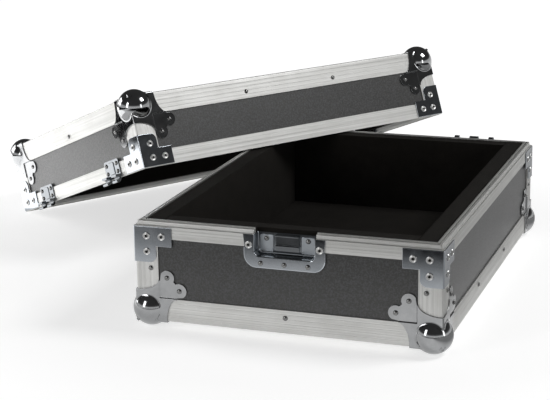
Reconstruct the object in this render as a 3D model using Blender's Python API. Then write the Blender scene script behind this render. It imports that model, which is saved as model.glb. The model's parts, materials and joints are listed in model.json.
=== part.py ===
"""Flight case for a dj mixer: foam-lined base, and the lift-off lid leaning over its back left corner.

World frame in metres, +Z up. The base's long sides run along Y, its latch side faces -Y.
X and Y are zero at the base's centre, and Z is zero at the underside of the base's floor panel.
"""
import math

import bmesh
import bpy
from mathutils import Matrix, Vector

MM = 0.001

# Overall sizes, over the outer faces of the aluminium extrusions
CASE_WIDTH = 390 * MM
CASE_DEPTH = 550 * MM
BASE_HEIGHT = 123 * MM
LID_HEIGHT = 104 * MM

# Where the lid stands: the middle of its lower long edge on the ground, and its turn about +Z
LID_FOOT_X = -428 * MM
LID_FOOT_Y = 390 * MM
LID_YAW = math.radians(145.65)

# Stock thicknesses and the gap left between touching pieces
GAP = 0.3 * MM
PLY = 6.5 * MM
EXTRUSION_WALL = 1.5 * MM
SHEET = 1.2 * MM
EDGE_LEG = 30 * MM

# The closure extrusions: a tongue on the base's rim that enters a channel in the lid's rim
BASE_RIM_LEG = 16 * MM
LID_RIM_LEG = 22 * MM
RIM_INNER_WALL = 1.2 * MM
LEDGE = 2.4 * MM
TONGUE_RISE = 6.2 * MM
SHOULDER_RISE = 5.0 * MM
SHOULDER_SLOPE = 0.6 * MM
SHOULDER_WIDTH = 1.6 * MM
SEAL_GROOVE_WIDTH = 2.7 * MM
SEAL_GROOVE_FLOOR = 2.2 * MM
CHANNEL_PLAY = 0.8 * MM
CHANNEL_LIP_RISE = 2.5 * MM

# Foam lining
FOAM_FLOOR = 12 * MM
FOAM_WALL = 24 * MM
FOAM_ABOVE_LEDGE = 2 * MM
FOAM_BELOW_TONGUE = 0.8 * MM
FOAM_LIP_PLAY = 0.5 * MM
LID_FOAM_TOP = 20 * MM
LID_FOAM_WALL = 10 * MM

# Ball corners: a hollow ball at the case's corner, with three legs and two riveted lobes on each face
BALL_RADIUS = 24 * MM
BALL_STAND_OUT = 10 * MM
BALL_WALL = 1.6 * MM
BALL_LEG_END = 40 * MM
BALL_LEG_TIP = 54 * MM
LOBE_ROOT = 53 * MM
LOBE_NEAR = 41 * MM
LOBE_FAR = 57 * MM
LOBE_RADIUS = 9.5 * MM

# Corner braces on the rims
BRACE_ARM = 49 * MM
BRACE_ARM_WIDTH = 25 * MM
BRACE_TO_BALL_LEG = 3 * MM
BRACE_LEG_WIDTH = 28 * MM
BRACE_ROUND = 9 * MM
BRACE_SETBACK = 1 * MM
BRACE_RIVET_EDGE = 16 * MM
BRACE_RIVET_RIM = 13 * MM
BRACE_LEG = LID_HEIGHT - BALL_LEG_TIP - BRACE_TO_BALL_LEG - BRACE_SETBACK
BRACE_RIVET_PITCH = BRACE_LEG - 2 * BRACE_RIVET_RIM

# Recessed butterfly latch: keeper dish in the base, latch dish in the lid
LATCH_WIDTH = 104 * MM
KEEPER_DISH_HEIGHT = 42 * MM
DISH_TO_EDGE = 4 * MM
LATCH_DISH_HEIGHT = LID_HEIGHT - EDGE_LEG - DISH_TO_EDGE
LATCH_DISH_BORDER = 14 * MM
DISH_ROUND = 16 * MM
DISH_RIVET_PITCH = 30 * MM
PAN_WIDTH = 76 * MM
PAN_DEPTH = 14 * MM
KEEPER_PAN_HEIGHT = 27 * MM
LATCH_PAN_HEIGHT = LATCH_DISH_HEIGHT - LATCH_DISH_BORDER
KEEPER_WIDTH = 30 * MM
KEEPER_HEIGHT = 21 * MM
KEEPER_LIP = 1.5 * MM
KEEPER_LIP_DROP = 2 * MM
KEEPER_LIP_PITCH = 13 * MM
PAD_WIDTH = 17 * MM
PAD_RISE = 1.5 * MM
PAD_SHORT = 3 * MM
PAD_RIVET_DROP = 7.3 * MM
HUB_RADIUS = 12 * MM
HUB_HEIGHT = 2.7 * MM
STUD_RADIUS = 4 * MM
POST_WIDTH = 2 * MM
POST_RISE = 2.4 * MM
POST_LENGTH = 19 * MM
HOOK_WIDTH = 26 * MM
HOOK_PLATE = 1.5 * MM
HOOK_TRAVEL = 6 * MM
WING_SPAN = 24 * MM
WING_PLATE = 1.5 * MM
WING_KNUCKLE_RADIUS = 1.1 * MM
WING_KNUCKLE_LENGTH = 17 * MM

# Lift-off hinges on the back
HINGE_WIDTH = 58 * MM
HINGE_TO_BRACE = 9.5 * MM
HINGE_SPACING = CASE_WIDTH - 2 * (BRACE_ARM + HINGE_TO_BRACE) - HINGE_WIDTH
HINGE_LEAF_HEIGHT = 28 * MM
KNUCKLE_RADIUS = 5.8 * MM
PIN_RADIUS = 2.3 * MM
PIN_PLAY = 0.3 * MM
PIN_HEAD = 0.6 * MM
END_KNUCKLE = 7 * MM
MIDDLE_KNUCKLE = 13 * MM
HOOK_KNUCKLE_PLAY = 0.8 * MM
HOOK_MOUTH = 2.5 * MM
LEAF_RIVET_PITCH = 30 * MM
LEAF_RIVET_ROWS = (10 * MM, 21.5 * MM)

# Rivet heads
DOME_RADIUS = 3.2 * MM
DOME_HEIGHT = 1.5 * MM
POP_RADIUS = 4.7 * MM
POP_HEIGHT = 1.6 * MM
RIVET_SINK = 0.5 * MM
RIVET_TAPER = 0.6
EDGE_RIVET_INSET = 20 * MM
LONG_EDGE_RIVET_PITCH = 160 * MM

# Levels and insets that follow from the sizes above
BASE_BOTTOM = -(EXTRUSION_WALL + GAP)
BASE_RIM = BASE_BOTTOM + BASE_HEIGHT
GROUND = BASE_BOTTOM - BALL_STAND_OUT
PLY_FACE = EXTRUSION_WALL + GAP
PLY_BACK = PLY_FACE + PLY
RIM_CHANNEL_BACK = PLY_BACK + GAP
RIM_BACK = RIM_CHANNEL_BACK + RIM_INNER_WALL
CHANNEL_TOP = TONGUE_RISE + CHANNEL_PLAY
WEB_TOP = CHANNEL_TOP + RIM_INNER_WALL
CHANNEL_BACK = RIM_BACK + CHANNEL_PLAY / 2
PLATE_BACK = -GAP
PLATE_FACE = PLATE_BACK - SHEET
LOBE_BACK = EXTRUSION_WALL - GAP / 2
PIN_INSET = PLATE_FACE - GAP - KNUCKLE_RADIUS
LIP_BACK = CHANNEL_BACK + RIM_INNER_WALL
FOAM_START = RIM_BACK + GAP
FLOOR_FOAM_TOP = PLY + GAP + FOAM_FLOOR
NOTCH_HALF = PAN_WIDTH / 2 + SHEET + GAP
NOTCH_DEPTH = PAN_DEPTH + SHEET + GAP
HUB_CENTRE = LATCH_PAN_HEIGHT / 2 + 2 * MM
WING_AXIS = POST_WIDTH / 2 + WING_KNUCKLE_RADIUS + GAP
WING_DEPTH = 2.3 * MM
HUB_FACE = WING_DEPTH + WING_KNUCKLE_RADIUS + GAP
HOOK_FACE = HUB_FACE + HUB_HEIGHT + GAP

SIDES = {"front": 0, "right": 1, "back": 2, "left": 3}
CORNERS = ("front_left", "front_right", "back_right", "back_left")
OTHER_FACE = Matrix(((0, 1, 0, 0), (1, 0, 0, 0), (0, 0, 1, 0), (0, 0, 0, 1)))


def clear_scene():
    for existing in list(bpy.data.objects):
        bpy.data.objects.remove(existing, do_unlink=True)


def make_material(name, colour, roughness, metallic):
    material = bpy.data.materials.new(name)
    material.use_nodes = True
    shader = material.node_tree.nodes["Principled BSDF"]
    shader.inputs["Base Color"].default_value = (*colour, 1.0)
    shader.inputs["Roughness"].default_value = roughness
    shader.inputs["Metallic"].default_value = metallic
    material.diffuse_color = (*colour, 1.0)
    return material


def make_object(name, shape, material, parent, matrix=Matrix.Identity(4), smooth_angle=None):
    """Turn a bmesh into a named object placed under its parent."""
    bmesh.ops.recalc_face_normals(shape, faces=shape.faces)
    mesh = bpy.data.meshes.new(name)
    shape.to_mesh(mesh)
    shape.free()
    mesh.materials.append(material)
    if smooth_angle is not None:
        mesh.shade_smooth()
        mesh.set_sharp_from_angle(angle=smooth_angle)
    piece = bpy.data.objects.new(name, mesh)
    bpy.context.scene.collection.objects.link(piece)
    piece.parent = parent
    piece.matrix_local = matrix
    return piece


def make_empty(name, parent=None, matrix=Matrix.Identity(4)):
    empty = bpy.data.objects.new(name, None)
    bpy.context.scene.collection.objects.link(empty)
    empty.parent = parent
    empty.matrix_local = matrix
    return empty


def side_length(side):
    return CASE_WIDTH if side % 2 == 0 else CASE_DEPTH


def side_matrix(side):
    """Frame of one side: x runs along it, y inward from the extrusions' outer face, z up."""
    half = (CASE_DEPTH if side % 2 == 0 else CASE_WIDTH) / 2
    return Matrix.Rotation(side * math.pi / 2, 4, "Z") @ Matrix.Translation((0, -half, 0))


def corner_matrix(corner, level, downward):
    """Frame of one vertical corner: x and y inward, z away from level, downward or upward."""
    across = (-1, 1, 1, -1)[corner] * CASE_WIDTH / 2
    along = (-1, -1, 1, 1)[corner] * CASE_DEPTH / 2
    placed = Matrix.Translation((across, along, level)) @ Matrix.Rotation(corner * math.pi / 2, 4, "Z")
    if downward:
        placed = placed @ Matrix(((0, 1, 0, 0), (1, 0, 0, 0), (0, 0, -1, 0), (0, 0, 0, 1)))
    return placed


def arc(centre, radius, start, stop, steps):
    """Points of an arc in degrees, both ends included."""
    turns = (math.radians(start + (stop - start) * step / steps) for step in range(steps + 1))
    return [(centre[0] + radius * math.cos(turn), centre[1] + radius * math.sin(turn)) for turn in turns]


def level_ring(inset, level):
    """Corners of the case's outline at one level, set in from its outer faces."""
    half_x = CASE_WIDTH / 2 - inset
    half_y = CASE_DEPTH / 2 - inset
    corners = ((-half_x, -half_y), (half_x, -half_y), (half_x, half_y), (-half_x, half_y))
    return [(x, y, level) for x, y in corners]


def add_loft(shape, rings):
    """Close a stack of rings with side faces and two caps."""
    loops = [[shape.verts.new(point) for point in ring] for ring in rings]
    count = len(loops[0])
    for lower, upper in zip(loops, loops[1:]):
        for index in range(count):
            following = (index + 1) % count
            shape.faces.new((lower[index], lower[following], upper[following], upper[index]))
    shape.faces.new(loops[0])
    shape.faces.new(loops[-1])


def add_box(shape, low, high):
    ring = ((low[0], low[1]), (high[0], low[1]), (high[0], high[1]), (low[0], high[1]))
    add_loft(shape, [[(x, y, z) for x, y in ring] for z in (low[2], high[2])])


def add_plate(shape, outline, near, far):
    """Extrude an outline of (along, up) points inward, from near to far."""
    add_loft(shape, [[(along, depth, up) for along, up in outline] for depth in (near, far)])


def add_bar(shape, profile, start, stop, start_mitred, stop_mitred):
    """Sweep a profile of (inward, up) points along a side; a mitred end steps back with its inset."""
    rings = []
    for end, mitred, way in ((start, start_mitred, 1), (stop, stop_mitred, -1)):
        back = GAP / math.sqrt(2) if mitred else 0.0
        slope = way if mitred else 0
        rings.append([(end + way * back + slope * inward, inward, up) for inward, up in profile])
    add_loft(shape, rings)


def add_rod(shape, centre, radius, start, stop, steps=12):
    """A rod along x whose centre is given as (inward, up)."""
    ring = arc(centre, radius, 0, 360 - 360 / steps, steps - 1)
    add_loft(shape, [[(along, inward, up) for inward, up in ring] for along in (start, stop)])


def add_disc(shape, centre, radius, near, far, steps=16):
    """A disc whose axis points inward and whose centre is given as (along, up)."""
    add_plate(shape, arc(centre, radius, 0, 360 - 360 / steps, steps - 1), near, far)


def add_rivet(shape, matrix, along, up, face, radius, height, steps):
    """A rivet head standing outward on a face of the given inset, rooted a little way into it."""
    rings = []
    for share, inward in ((1.0, face + RIVET_SINK), (RIVET_TAPER, face - height)):
        ring = arc((along, up), radius * share, 0, 360 - 360 / steps, steps - 1)
        rings.append([matrix @ Vector((x, inward, z)) for x, z in ring])
    add_loft(shape, rings)


def add_dome_rivet(shape, matrix, along, up, face):
    add_rivet(shape, matrix, along, up, face, DOME_RADIUS, DOME_HEIGHT, 6)


def add_pop_rivet(shape, matrix, along, up, face):
    add_rivet(shape, matrix, along, up, face, POP_RADIUS, POP_HEIGHT, 8)


def boolean(shape, other, operation):
    """Combine two bmeshes with Blender's exact Boolean and return the result as a bmesh."""
    pieces = []
    for part in (shape, other):
        bmesh.ops.recalc_face_normals(part, faces=part.faces)
        mesh = bpy.data.meshes.new("working")
        part.to_mesh(mesh)
        part.free()
        piece = bpy.data.objects.new("working", mesh)
        bpy.context.scene.collection.objects.link(piece)
        pieces.append(piece)
    modifier = pieces[0].modifiers.new("combine", "BOOLEAN")
    modifier.operation = operation
    modifier.object = pieces[1]
    modifier.solver = "EXACT"
    depsgraph = bpy.context.evaluated_depsgraph_get()
    result = bmesh.new()
    result.from_mesh(pieces[0].evaluated_get(depsgraph).to_mesh())
    for piece in pieces:
        mesh = piece.data
        bpy.data.objects.remove(piece, do_unlink=True)
        bpy.data.meshes.remove(mesh)
    bmesh.ops.remove_doubles(result, verts=result.verts, dist=0.001 * MM)
    return result


def base_rim_profile():
    """Tongued closure extrusion, (inward, up from the ledge), with its channel over the wall below."""
    shoulder = LEDGE + SHOULDER_SLOPE
    groove = shoulder + SHOULDER_WIDTH
    return [
        (0, -BASE_RIM_LEG), (0, 0), (LEDGE, 0), (shoulder, SHOULDER_RISE), (groove, SHOULDER_RISE),
        (groove, SEAL_GROOVE_FLOOR), (groove + SEAL_GROOVE_WIDTH, SEAL_GROOVE_FLOOR),
        (groove + SEAL_GROOVE_WIDTH, TONGUE_RISE), (RIM_BACK, TONGUE_RISE), (RIM_BACK, -BASE_RIM_LEG),
        (RIM_CHANNEL_BACK, -BASE_RIM_LEG), (RIM_CHANNEL_BACK, -EXTRUSION_WALL),
        (EXTRUSION_WALL, -EXTRUSION_WALL), (EXTRUSION_WALL, -BASE_RIM_LEG),
    ]


def lid_rim_profile():
    """Channelled closure extrusion, (inward, up from its lower edge), that the tongue enters."""
    ledge = LEDGE - GAP
    return [
        (0, 0), (ledge, 0), (ledge, CHANNEL_TOP), (CHANNEL_BACK, CHANNEL_TOP),
        (CHANNEL_BACK, CHANNEL_LIP_RISE), (LIP_BACK, CHANNEL_LIP_RISE), (LIP_BACK, WEB_TOP),
        (RIM_BACK, WEB_TOP), (RIM_BACK, LID_RIM_LEG), (RIM_CHANNEL_BACK, LID_RIM_LEG),
        (RIM_CHANNEL_BACK, WEB_TOP), (EXTRUSION_WALL, WEB_TOP), (EXTRUSION_WALL, LID_RIM_LEG),
        (0, LID_RIM_LEG),
    ]


def edge_profile(outer, way):
    """Angle extrusion round the bottom or top: outer is its flat face's level, way points to the rim."""
    return [
        (0, outer), (0, outer + way * EDGE_LEG), (EXTRUSION_WALL, outer + way * EDGE_LEG),
        (EXTRUSION_WALL, outer + way * EXTRUSION_WALL), (EDGE_LEG, outer + way * EXTRUSION_WALL),
        (EDGE_LEG, outer),
    ]


def build_bars(prefix, profile, material, parent, notched_side=None):
    """Mitred bars, one for each side; the latch's side is two bars with the dish between them."""
    for label, side in SIDES.items():
        end = side_length(side) / 2
        runs = [(f"{prefix}_{label}", -end, end, True, True)]
        if label == notched_side:
            runs = [
                (f"{prefix}_{label}_left", -end, -NOTCH_HALF, True, False),
                (f"{prefix}_{label}_right", NOTCH_HALF, end, False, True),
            ]
        for name, start, stop, start_mitred, stop_mitred in runs:
            shape = bmesh.new()
            add_bar(shape, profile, start, stop, start_mitred, stop_mitred)
            make_object(name, shape, material, parent, side_matrix(side))


def build_edges(prefix, outer, way, material, parent):
    """The angle extrusions round the bottom or the top, with the rivets that hold them."""
    level = outer + way * EDGE_RIVET_INSET
    for label, side in SIDES.items():
        end = side_length(side) / 2
        shape = bmesh.new()
        add_bar(shape, edge_profile(outer, way), -end, end, True, True)
        rivets = bmesh.new()
        places = (0,) if side % 2 == 0 else (-LONG_EDGE_RIVET_PITCH / 2, LONG_EDGE_RIVET_PITCH / 2)
        for along in places:
            add_dome_rivet(rivets, Matrix.Identity(4), along, level, 0)
        shape = boolean(shape, rivets, "UNION")
        make_object(f"{prefix}_{label}", shape, material, parent, side_matrix(side))


def build_carcass(name, open_level, closed_level, notch_low, notch_high, material, parent):
    """One half's plywood panels: four walls and the floor or top, notched for the latch dish."""
    way = 1 if open_level > closed_level else -1
    rings = []
    for inset, level in (
        (PLY_FACE, closed_level), (PLY_FACE, open_level),
        (PLY_BACK, open_level), (PLY_BACK, closed_level + way * PLY),
    ):
        rings.append(level_ring(inset, level))
    shape = bmesh.new()
    add_loft(shape, rings)
    notch = bmesh.new()
    face = -CASE_DEPTH / 2
    add_box(notch, (-NOTCH_HALF, face, notch_low), (NOTCH_HALF, face + PLY_BACK + PLY, notch_high))
    make_object(name, boolean(shape, notch, "DIFFERENCE"), material, parent)


def build_corner_angles(prefix, low, high, riveted, material, parent):
    """The four upright angle extrusions; the base's have a rivet on both faces."""
    outline = [
        (0, 0), (EDGE_LEG, 0), (EDGE_LEG, EXTRUSION_WALL), (EXTRUSION_WALL, EXTRUSION_WALL),
        (EXTRUSION_WALL, EDGE_LEG), (0, EDGE_LEG),
    ]
    for corner, label in enumerate(CORNERS):
        shape = bmesh.new()
        add_loft(shape, [[(x, y, z) for x, y in outline] for z in (low, high)])
        if riveted:
            rivets = bmesh.new()
            for face in (Matrix.Identity(4), OTHER_FACE):
                add_dome_rivet(rivets, face, EDGE_RIVET_INSET, (low + high) / 2, 0)
            shape = boolean(shape, rivets, "UNION")
        make_object(f"{prefix}_{label}", shape, material, parent, corner_matrix(corner, 0, False))


def ball_leg_outline():
    """One face of the ball corner's legs, from one case edge round to the other."""
    width = EDGE_LEG - GAP
    lag = BALL_LEG_TIP - BALL_LEG_END
    flare = []
    for turn in (0, 30, 60, 90):
        bend = math.radians(turn)
        flare.append((BALL_LEG_END + lag * (1 - math.cos(bend)), width * math.sin(bend)))
    skirt = EDGE_LEG + GAP + SHEET
    corner = [(BALL_LEG_TIP, skirt), (skirt, skirt), (skirt, BALL_LEG_TIP)]
    return [(0, 0)] + flare + corner + [(y, x) for x, y in reversed(flare)]


def lobe_outline():
    """The two riveted lobes on one face, from the step at the extrusion's edge."""
    inner = EDGE_LEG + GAP
    low = arc((LOBE_FAR, LOBE_NEAR), LOBE_RADIUS, -60, 100, 6)
    high = [(y, x) for x, y in reversed(low)]
    return [(inner, inner), (LOBE_ROOT, inner)] + low + high + [(inner, LOBE_ROOT)]


def add_folded_faces(shape, outlines, outer, inner):
    """A sheet folded over a corner: each outline lies on one case face, zero meaning a shared fold."""
    verts = {}

    def vertex(point, offset):
        place = tuple(-offset if value == 0 else value for value in point)
        key = tuple(round(value, 7) for value in place)
        if key not in verts:
            verts[key] = shape.verts.new(place)
        return verts[key]

    edges = [
        (points[index - 1], points[index]) for points in outlines for index in range(len(points))
    ]
    undirected = [frozenset(edge) for edge in edges]
    for points in outlines:
        shape.faces.new([vertex(point, outer) for point in points])
        shape.faces.new([vertex(point, inner) for point in reversed(points)])
    for edge in edges:
        if undirected.count(frozenset(edge)) == 1:
            near, far = edge
            ring = (vertex(near, outer), vertex(far, outer), vertex(far, inner), vertex(near, inner))
            shape.faces.new(ring)


def turned(points, turn):
    """Move points from the face where z is zero to the next faces in turn."""
    return [tuple(point[(axis - turn) % 3] for axis in range(3)) for point in points]


def face_matrix(turn, spot):
    """Frame of a spot on one face of a corner: x and z lie in the face, y points into the case."""
    across, along, inward = (Vector(row) for row in turned([(1, 0, 0), (0, 1, 0), (0, 0, 1)], turn))
    turning = Matrix((across, inward, along)).transposed().to_4x4()
    return Matrix.Translation(turned([spot], turn)[0]) @ turning


def ball_corner_shape():
    """Folded legs, stepped lobes and a hollow ball that is open towards the case's corner."""
    legs = [(x, y, 0.0) for x, y in ball_leg_outline()]
    shape = bmesh.new()
    add_folded_faces(shape, [turned(legs, turn) for turn in range(3)], -PLATE_FACE, -PLATE_BACK)

    inner = EDGE_LEG + GAP
    skirt = inner + SHEET
    overlap = 0.1 * MM
    brim = skirt - overlap
    reach = [(inner, inner), (LOBE_ROOT, inner), (LOBE_ROOT, brim)]
    step = reach + [(brim, brim)] + [(y, x) for x, y in reversed(reach[1:])]
    rivets = bmesh.new()
    for turn in range(3):
        for outline, top in ((step, PLATE_FACE + overlap), (lobe_outline(), 0)):
            block = bmesh.new()
            add_loft(block, [turned([(x, y, z) for x, y in outline], turn) for z in (top, LOBE_BACK)])
            shape = boolean(shape, block, "UNION")
        for spot in ((LOBE_NEAR, LOBE_FAR, 0), (LOBE_FAR, LOBE_NEAR, 0)):
            add_dome_rivet(rivets, face_matrix(turn, spot), 0, 0, 0)
    shape = boolean(shape, rivets, "UNION")

    centre = BALL_RADIUS - BALL_STAND_OUT
    placed = Matrix.Translation((centre, centre, centre))
    ball = bmesh.new()
    bmesh.ops.create_uvsphere(ball, u_segments=18, v_segments=10, radius=BALL_RADIUS, matrix=placed)
    case_corner = bmesh.new()
    reach = centre + BALL_RADIUS + GAP
    add_box(case_corner, (-GAP, -GAP, -GAP), (reach, reach, reach))
    hollow = bmesh.new()
    bmesh.ops.create_uvsphere(
        hollow, u_segments=12, v_segments=6, radius=BALL_RADIUS - BALL_WALL, matrix=placed
    )
    shape = boolean(shape, boolean(ball, case_corner, "DIFFERENCE"), "UNION")
    return boolean(shape, hollow, "DIFFERENCE")


def build_ball_corners(prefix, level, downward, material, parent):
    shape = ball_corner_shape()
    bmesh.ops.recalc_face_normals(shape, faces=shape.faces)
    for corner, label in enumerate(CORNERS):
        placed = corner_matrix(corner, level, downward)
        make_object(f"{prefix}_{label}", shape.copy(), material, parent, placed, math.radians(35))
    shape.free()


def brace_outline():
    """One face of a corner brace: x from the corner, y away from the rim."""
    bend = (BRACE_LEG_WIDTH - BRACE_ROUND, BRACE_LEG - BRACE_ROUND)
    return [
        (0, 0), (BRACE_ARM, 0), (BRACE_ARM, BRACE_ARM_WIDTH), (BRACE_LEG_WIDTH, BRACE_ARM_WIDTH),
        *arc(bend, BRACE_ROUND, 0, 90, 3), (0, BRACE_LEG),
    ]


def build_braces(prefix, level, downward, material, parent):
    """Four corner braces wrapped round the rim's corners, three pop rivets on each face."""
    faces = [
        [(x, 0.0, y + BRACE_SETBACK) for x, y in brace_outline()],
        [(0.0, x, y + BRACE_SETBACK) for x, y in brace_outline()],
    ]
    for corner, label in enumerate(CORNERS):
        shape = bmesh.new()
        add_folded_faces(shape, faces, -PLATE_FACE, -PLATE_BACK)
        rivets = bmesh.new()
        for face in (Matrix.Identity(4), OTHER_FACE):
            for column, row in ((0, 0), (1, 0), (0, 1)):
                along = BRACE_RIVET_EDGE + column * BRACE_RIVET_PITCH
                down = BRACE_RIVET_RIM + row * BRACE_RIVET_PITCH
                add_pop_rivet(rivets, face, along, down, PLATE_FACE)
        shape = boolean(shape, rivets, "UNION")
        make_object(f"{prefix}_{label}", shape, material, parent, corner_matrix(corner, level, downward))


def dish_shape(height, pan_height, rim_leg, way):
    """Pressed dish: a flat surround with rounded far corners and a deep pan that is open at the rim."""
    half = LATCH_WIDTH / 2
    bend = height - DISH_ROUND
    right = [(x, way * up) for x, up in arc((half - DISH_ROUND, bend), DISH_ROUND, 0, 90, 4)]
    surround = [(half, 0.0)] + right + [(-x, up) for x, up in reversed(right)] + [(-half, 0.0)]
    shape = bmesh.new()
    add_plate(shape, surround, PLATE_FACE, PLATE_BACK)

    below_rim = rim_leg + GAP
    lower = [(half, way * below_rim)] + right + [(-x, up) for x, up in reversed(right)]
    backing = bmesh.new()
    add_plate(backing, lower + [(-half, way * below_rim)], PLATE_BACK - GAP, EXTRUSION_WALL)
    shape = boolean(shape, backing, "UNION")

    rivets = bmesh.new()
    beside = (LATCH_WIDTH + PAN_WIDTH) / 4
    for mirror in (-1, 1):
        add_pop_rivet(rivets, Matrix.Identity(4), mirror * beside, way * BRACE_RIVET_RIM, PLATE_FACE)
    beyond = way * (height + pan_height + SHEET) / 2
    for along in (-DISH_RIVET_PITCH, 0, DISH_RIVET_PITCH):
        add_dome_rivet(rivets, Matrix.Identity(4), along, beyond, PLATE_FACE)
    shape = boolean(shape, rivets, "UNION")

    def pan_box(grow, near, rim_level):
        box = bmesh.new()
        ends = sorted((way * rim_level, way * (pan_height + grow)))
        low = (-PAN_WIDTH / 2 - grow, near, ends[0])
        add_box(box, low, (PAN_WIDTH / 2 + grow, PAN_DEPTH + grow, ends[1]))
        return box

    shape = boolean(shape, pan_box(SHEET, PLATE_BACK - GAP, 0.0), "UNION")
    return boolean(shape, pan_box(0.0, PLATE_FACE - SHEET, -SHEET), "DIFFERENCE")


def build_keeper_dish(material, parent):
    """Base half of the latch: the dish with its two raised pads, and the keeper that the hook pulls on."""
    front = side_matrix(SIDES["front"]) @ Matrix.Translation((0, 0, BASE_RIM))
    shape = dish_shape(KEEPER_DISH_HEIGHT, KEEPER_PAN_HEIGHT, BASE_RIM_LEG, -1)
    pads = bmesh.new()
    for way in (-1, 1):
        middle = way * (KEEPER_WIDTH / 2 + PAN_WIDTH / 2) / 2
        low = (middle - PAD_WIDTH / 2, PAN_DEPTH - PAD_RISE, -KEEPER_PAN_HEIGHT + PAD_SHORT)
        add_box(pads, low, (middle + PAD_WIDTH / 2, PAN_DEPTH + SHEET / 2, -PAD_SHORT))
    shape = boolean(shape, pads, "UNION")
    rivets = bmesh.new()
    for way in (-1, 1):
        middle = way * (KEEPER_WIDTH / 2 + PAN_WIDTH / 2) / 2
        add_dome_rivet(rivets, Matrix.Identity(4), middle, -PAD_RIVET_DROP, PAN_DEPTH - PAD_RISE)
    shape = boolean(shape, rivets, "UNION")
    make_object("latch_keeper_dish", shape, material, parent, front)

    back = PAN_DEPTH - GAP
    plate = back - SHEET
    tip = HOOK_FACE + HOOK_PLATE + 2 * GAP
    second = KEEPER_LIP_DROP + KEEPER_LIP_PITCH
    profile = [
        (back, -KEEPER_LIP_DROP), (tip, -KEEPER_LIP_DROP), (tip, -KEEPER_LIP_DROP - KEEPER_LIP),
        (plate, -KEEPER_LIP_DROP - KEEPER_LIP), (plate, -second), (tip, -second),
        (tip, -second - KEEPER_LIP), (plate, -second - KEEPER_LIP),
        (plate, -KEEPER_LIP_DROP - KEEPER_HEIGHT), (back, -KEEPER_LIP_DROP - KEEPER_HEIGHT),
    ]
    keeper = bmesh.new()
    add_bar(keeper, profile, -KEEPER_WIDTH / 2, KEEPER_WIDTH / 2, False, False)
    make_object("latch_keeper", keeper, material, parent, front)


def build_latch(chrome, zinc, parent):
    """Lid half of the latch: dish, turning hub, sliding hook and two fold-out wings."""
    front = side_matrix(SIDES["front"])
    dish = dish_shape(LATCH_DISH_HEIGHT, LATCH_PAN_HEIGHT, LID_RIM_LEG, 1)
    make_object("latch_dish", dish, zinc, parent, front)

    hub_place = front @ Matrix.Translation((0, HUB_FACE, HUB_CENTRE))
    hub_axis = make_empty("latch_hub_axis", parent, hub_place)
    hub = bmesh.new()
    add_disc(hub, (0, 0), HUB_RADIUS, 0, HUB_HEIGHT)
    stud = bmesh.new()
    add_disc(stud, (0, 0), STUD_RADIUS, HUB_HEIGHT / 2, PAN_DEPTH - GAP - HUB_FACE, 12)
    hub = boolean(hub, stud, "UNION")
    post = bmesh.new()
    post_low = (-POST_WIDTH / 2, -POST_RISE, -POST_LENGTH / 2)
    add_box(post, post_low, (POST_WIDTH / 2, HUB_HEIGHT / 2, POST_LENGTH / 2))
    hub = boolean(hub, post, "UNION")
    make_object("latch_hub", hub, chrome, hub_axis)

    hook_axis = make_empty("latch_hook_slide", parent, front)
    half = HOOK_WIDTH / 2
    nose = -(KEEPER_LIP_DROP + KEEPER_LIP + 2 * GAP)
    hook_top = HUB_CENTRE + HUB_RADIUS
    plate = bmesh.new()
    add_box(plate, (-half, HOOK_FACE, nose - KEEPER_LIP), (half, HOOK_FACE + HOOK_PLATE, hook_top))
    turned_in = bmesh.new()
    reach = PAN_DEPTH - GAP - SHEET - GAP
    add_box(turned_in, (-half, HOOK_FACE + HOOK_PLATE / 2, nose - KEEPER_LIP), (half, reach, nose))
    plate = boolean(plate, turned_in, "UNION")
    slot = bmesh.new()
    reach = STUD_RADIUS + GAP
    slot_low = (-reach, HOOK_FACE - SHEET, HUB_CENTRE - reach)
    add_box(slot, slot_low, (reach, HOOK_FACE + HOOK_PLATE + SHEET, HUB_CENTRE + reach + HOOK_TRAVEL))
    plate = boolean(plate, slot, "DIFFERENCE")
    make_object("latch_hook", plate, zinc, hook_axis)

    for label, way in (("left", -1), ("right", 1)):
        place = Matrix.Translation((way * WING_AXIS, WING_DEPTH - HUB_FACE, 0))
        wing_axis = make_empty(f"latch_wing_{label}_axis", hub_axis, place)
        reach = WING_SPAN - WING_AXIS
        rounded = arc((reach - HUB_RADIUS, 0), HUB_RADIUS, -90, 90, 8)
        outline = [(0, -HUB_RADIUS)] + rounded + [(0, HUB_RADIUS)]
        wing = bmesh.new()
        add_plate(wing, [(way * x, z) for x, z in outline], -WING_PLATE / 2, WING_PLATE / 2)
        ring = arc((0, 0), WING_KNUCKLE_RADIUS, 0, 324, 9)
        knuckle = bmesh.new()
        ends = (-WING_KNUCKLE_LENGTH / 2, WING_KNUCKLE_LENGTH / 2)
        add_loft(knuckle, [[(x, y, z) for x, y in ring] for z in ends])
        wing = boolean(wing, knuckle, "UNION")
        make_object(f"latch_wing_{label}", wing, chrome, wing_axis)


def hinge_matrix(way, level):
    offset = Matrix.Translation((way * HINGE_SPACING / 2, 0, level))
    return side_matrix(SIDES["back"]) @ offset


def hinge_leaf(way, half):
    """Flat leaf of a hinge with its four rivets, hanging from the rim or standing on it."""
    levels = sorted((way * BRACE_SETBACK, way * HINGE_LEAF_HEIGHT))
    leaf = bmesh.new()
    add_box(leaf, (-half, PLATE_FACE, levels[0]), (half, PLATE_BACK, levels[1]))
    rivets = bmesh.new()
    for along in (-LEAF_RIVET_PITCH / 2, LEAF_RIVET_PITCH / 2):
        for row in LEAF_RIVET_ROWS:
            add_dome_rivet(rivets, Matrix.Identity(4), along, way * row, PLATE_FACE)
    return boolean(leaf, rivets, "UNION")


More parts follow.
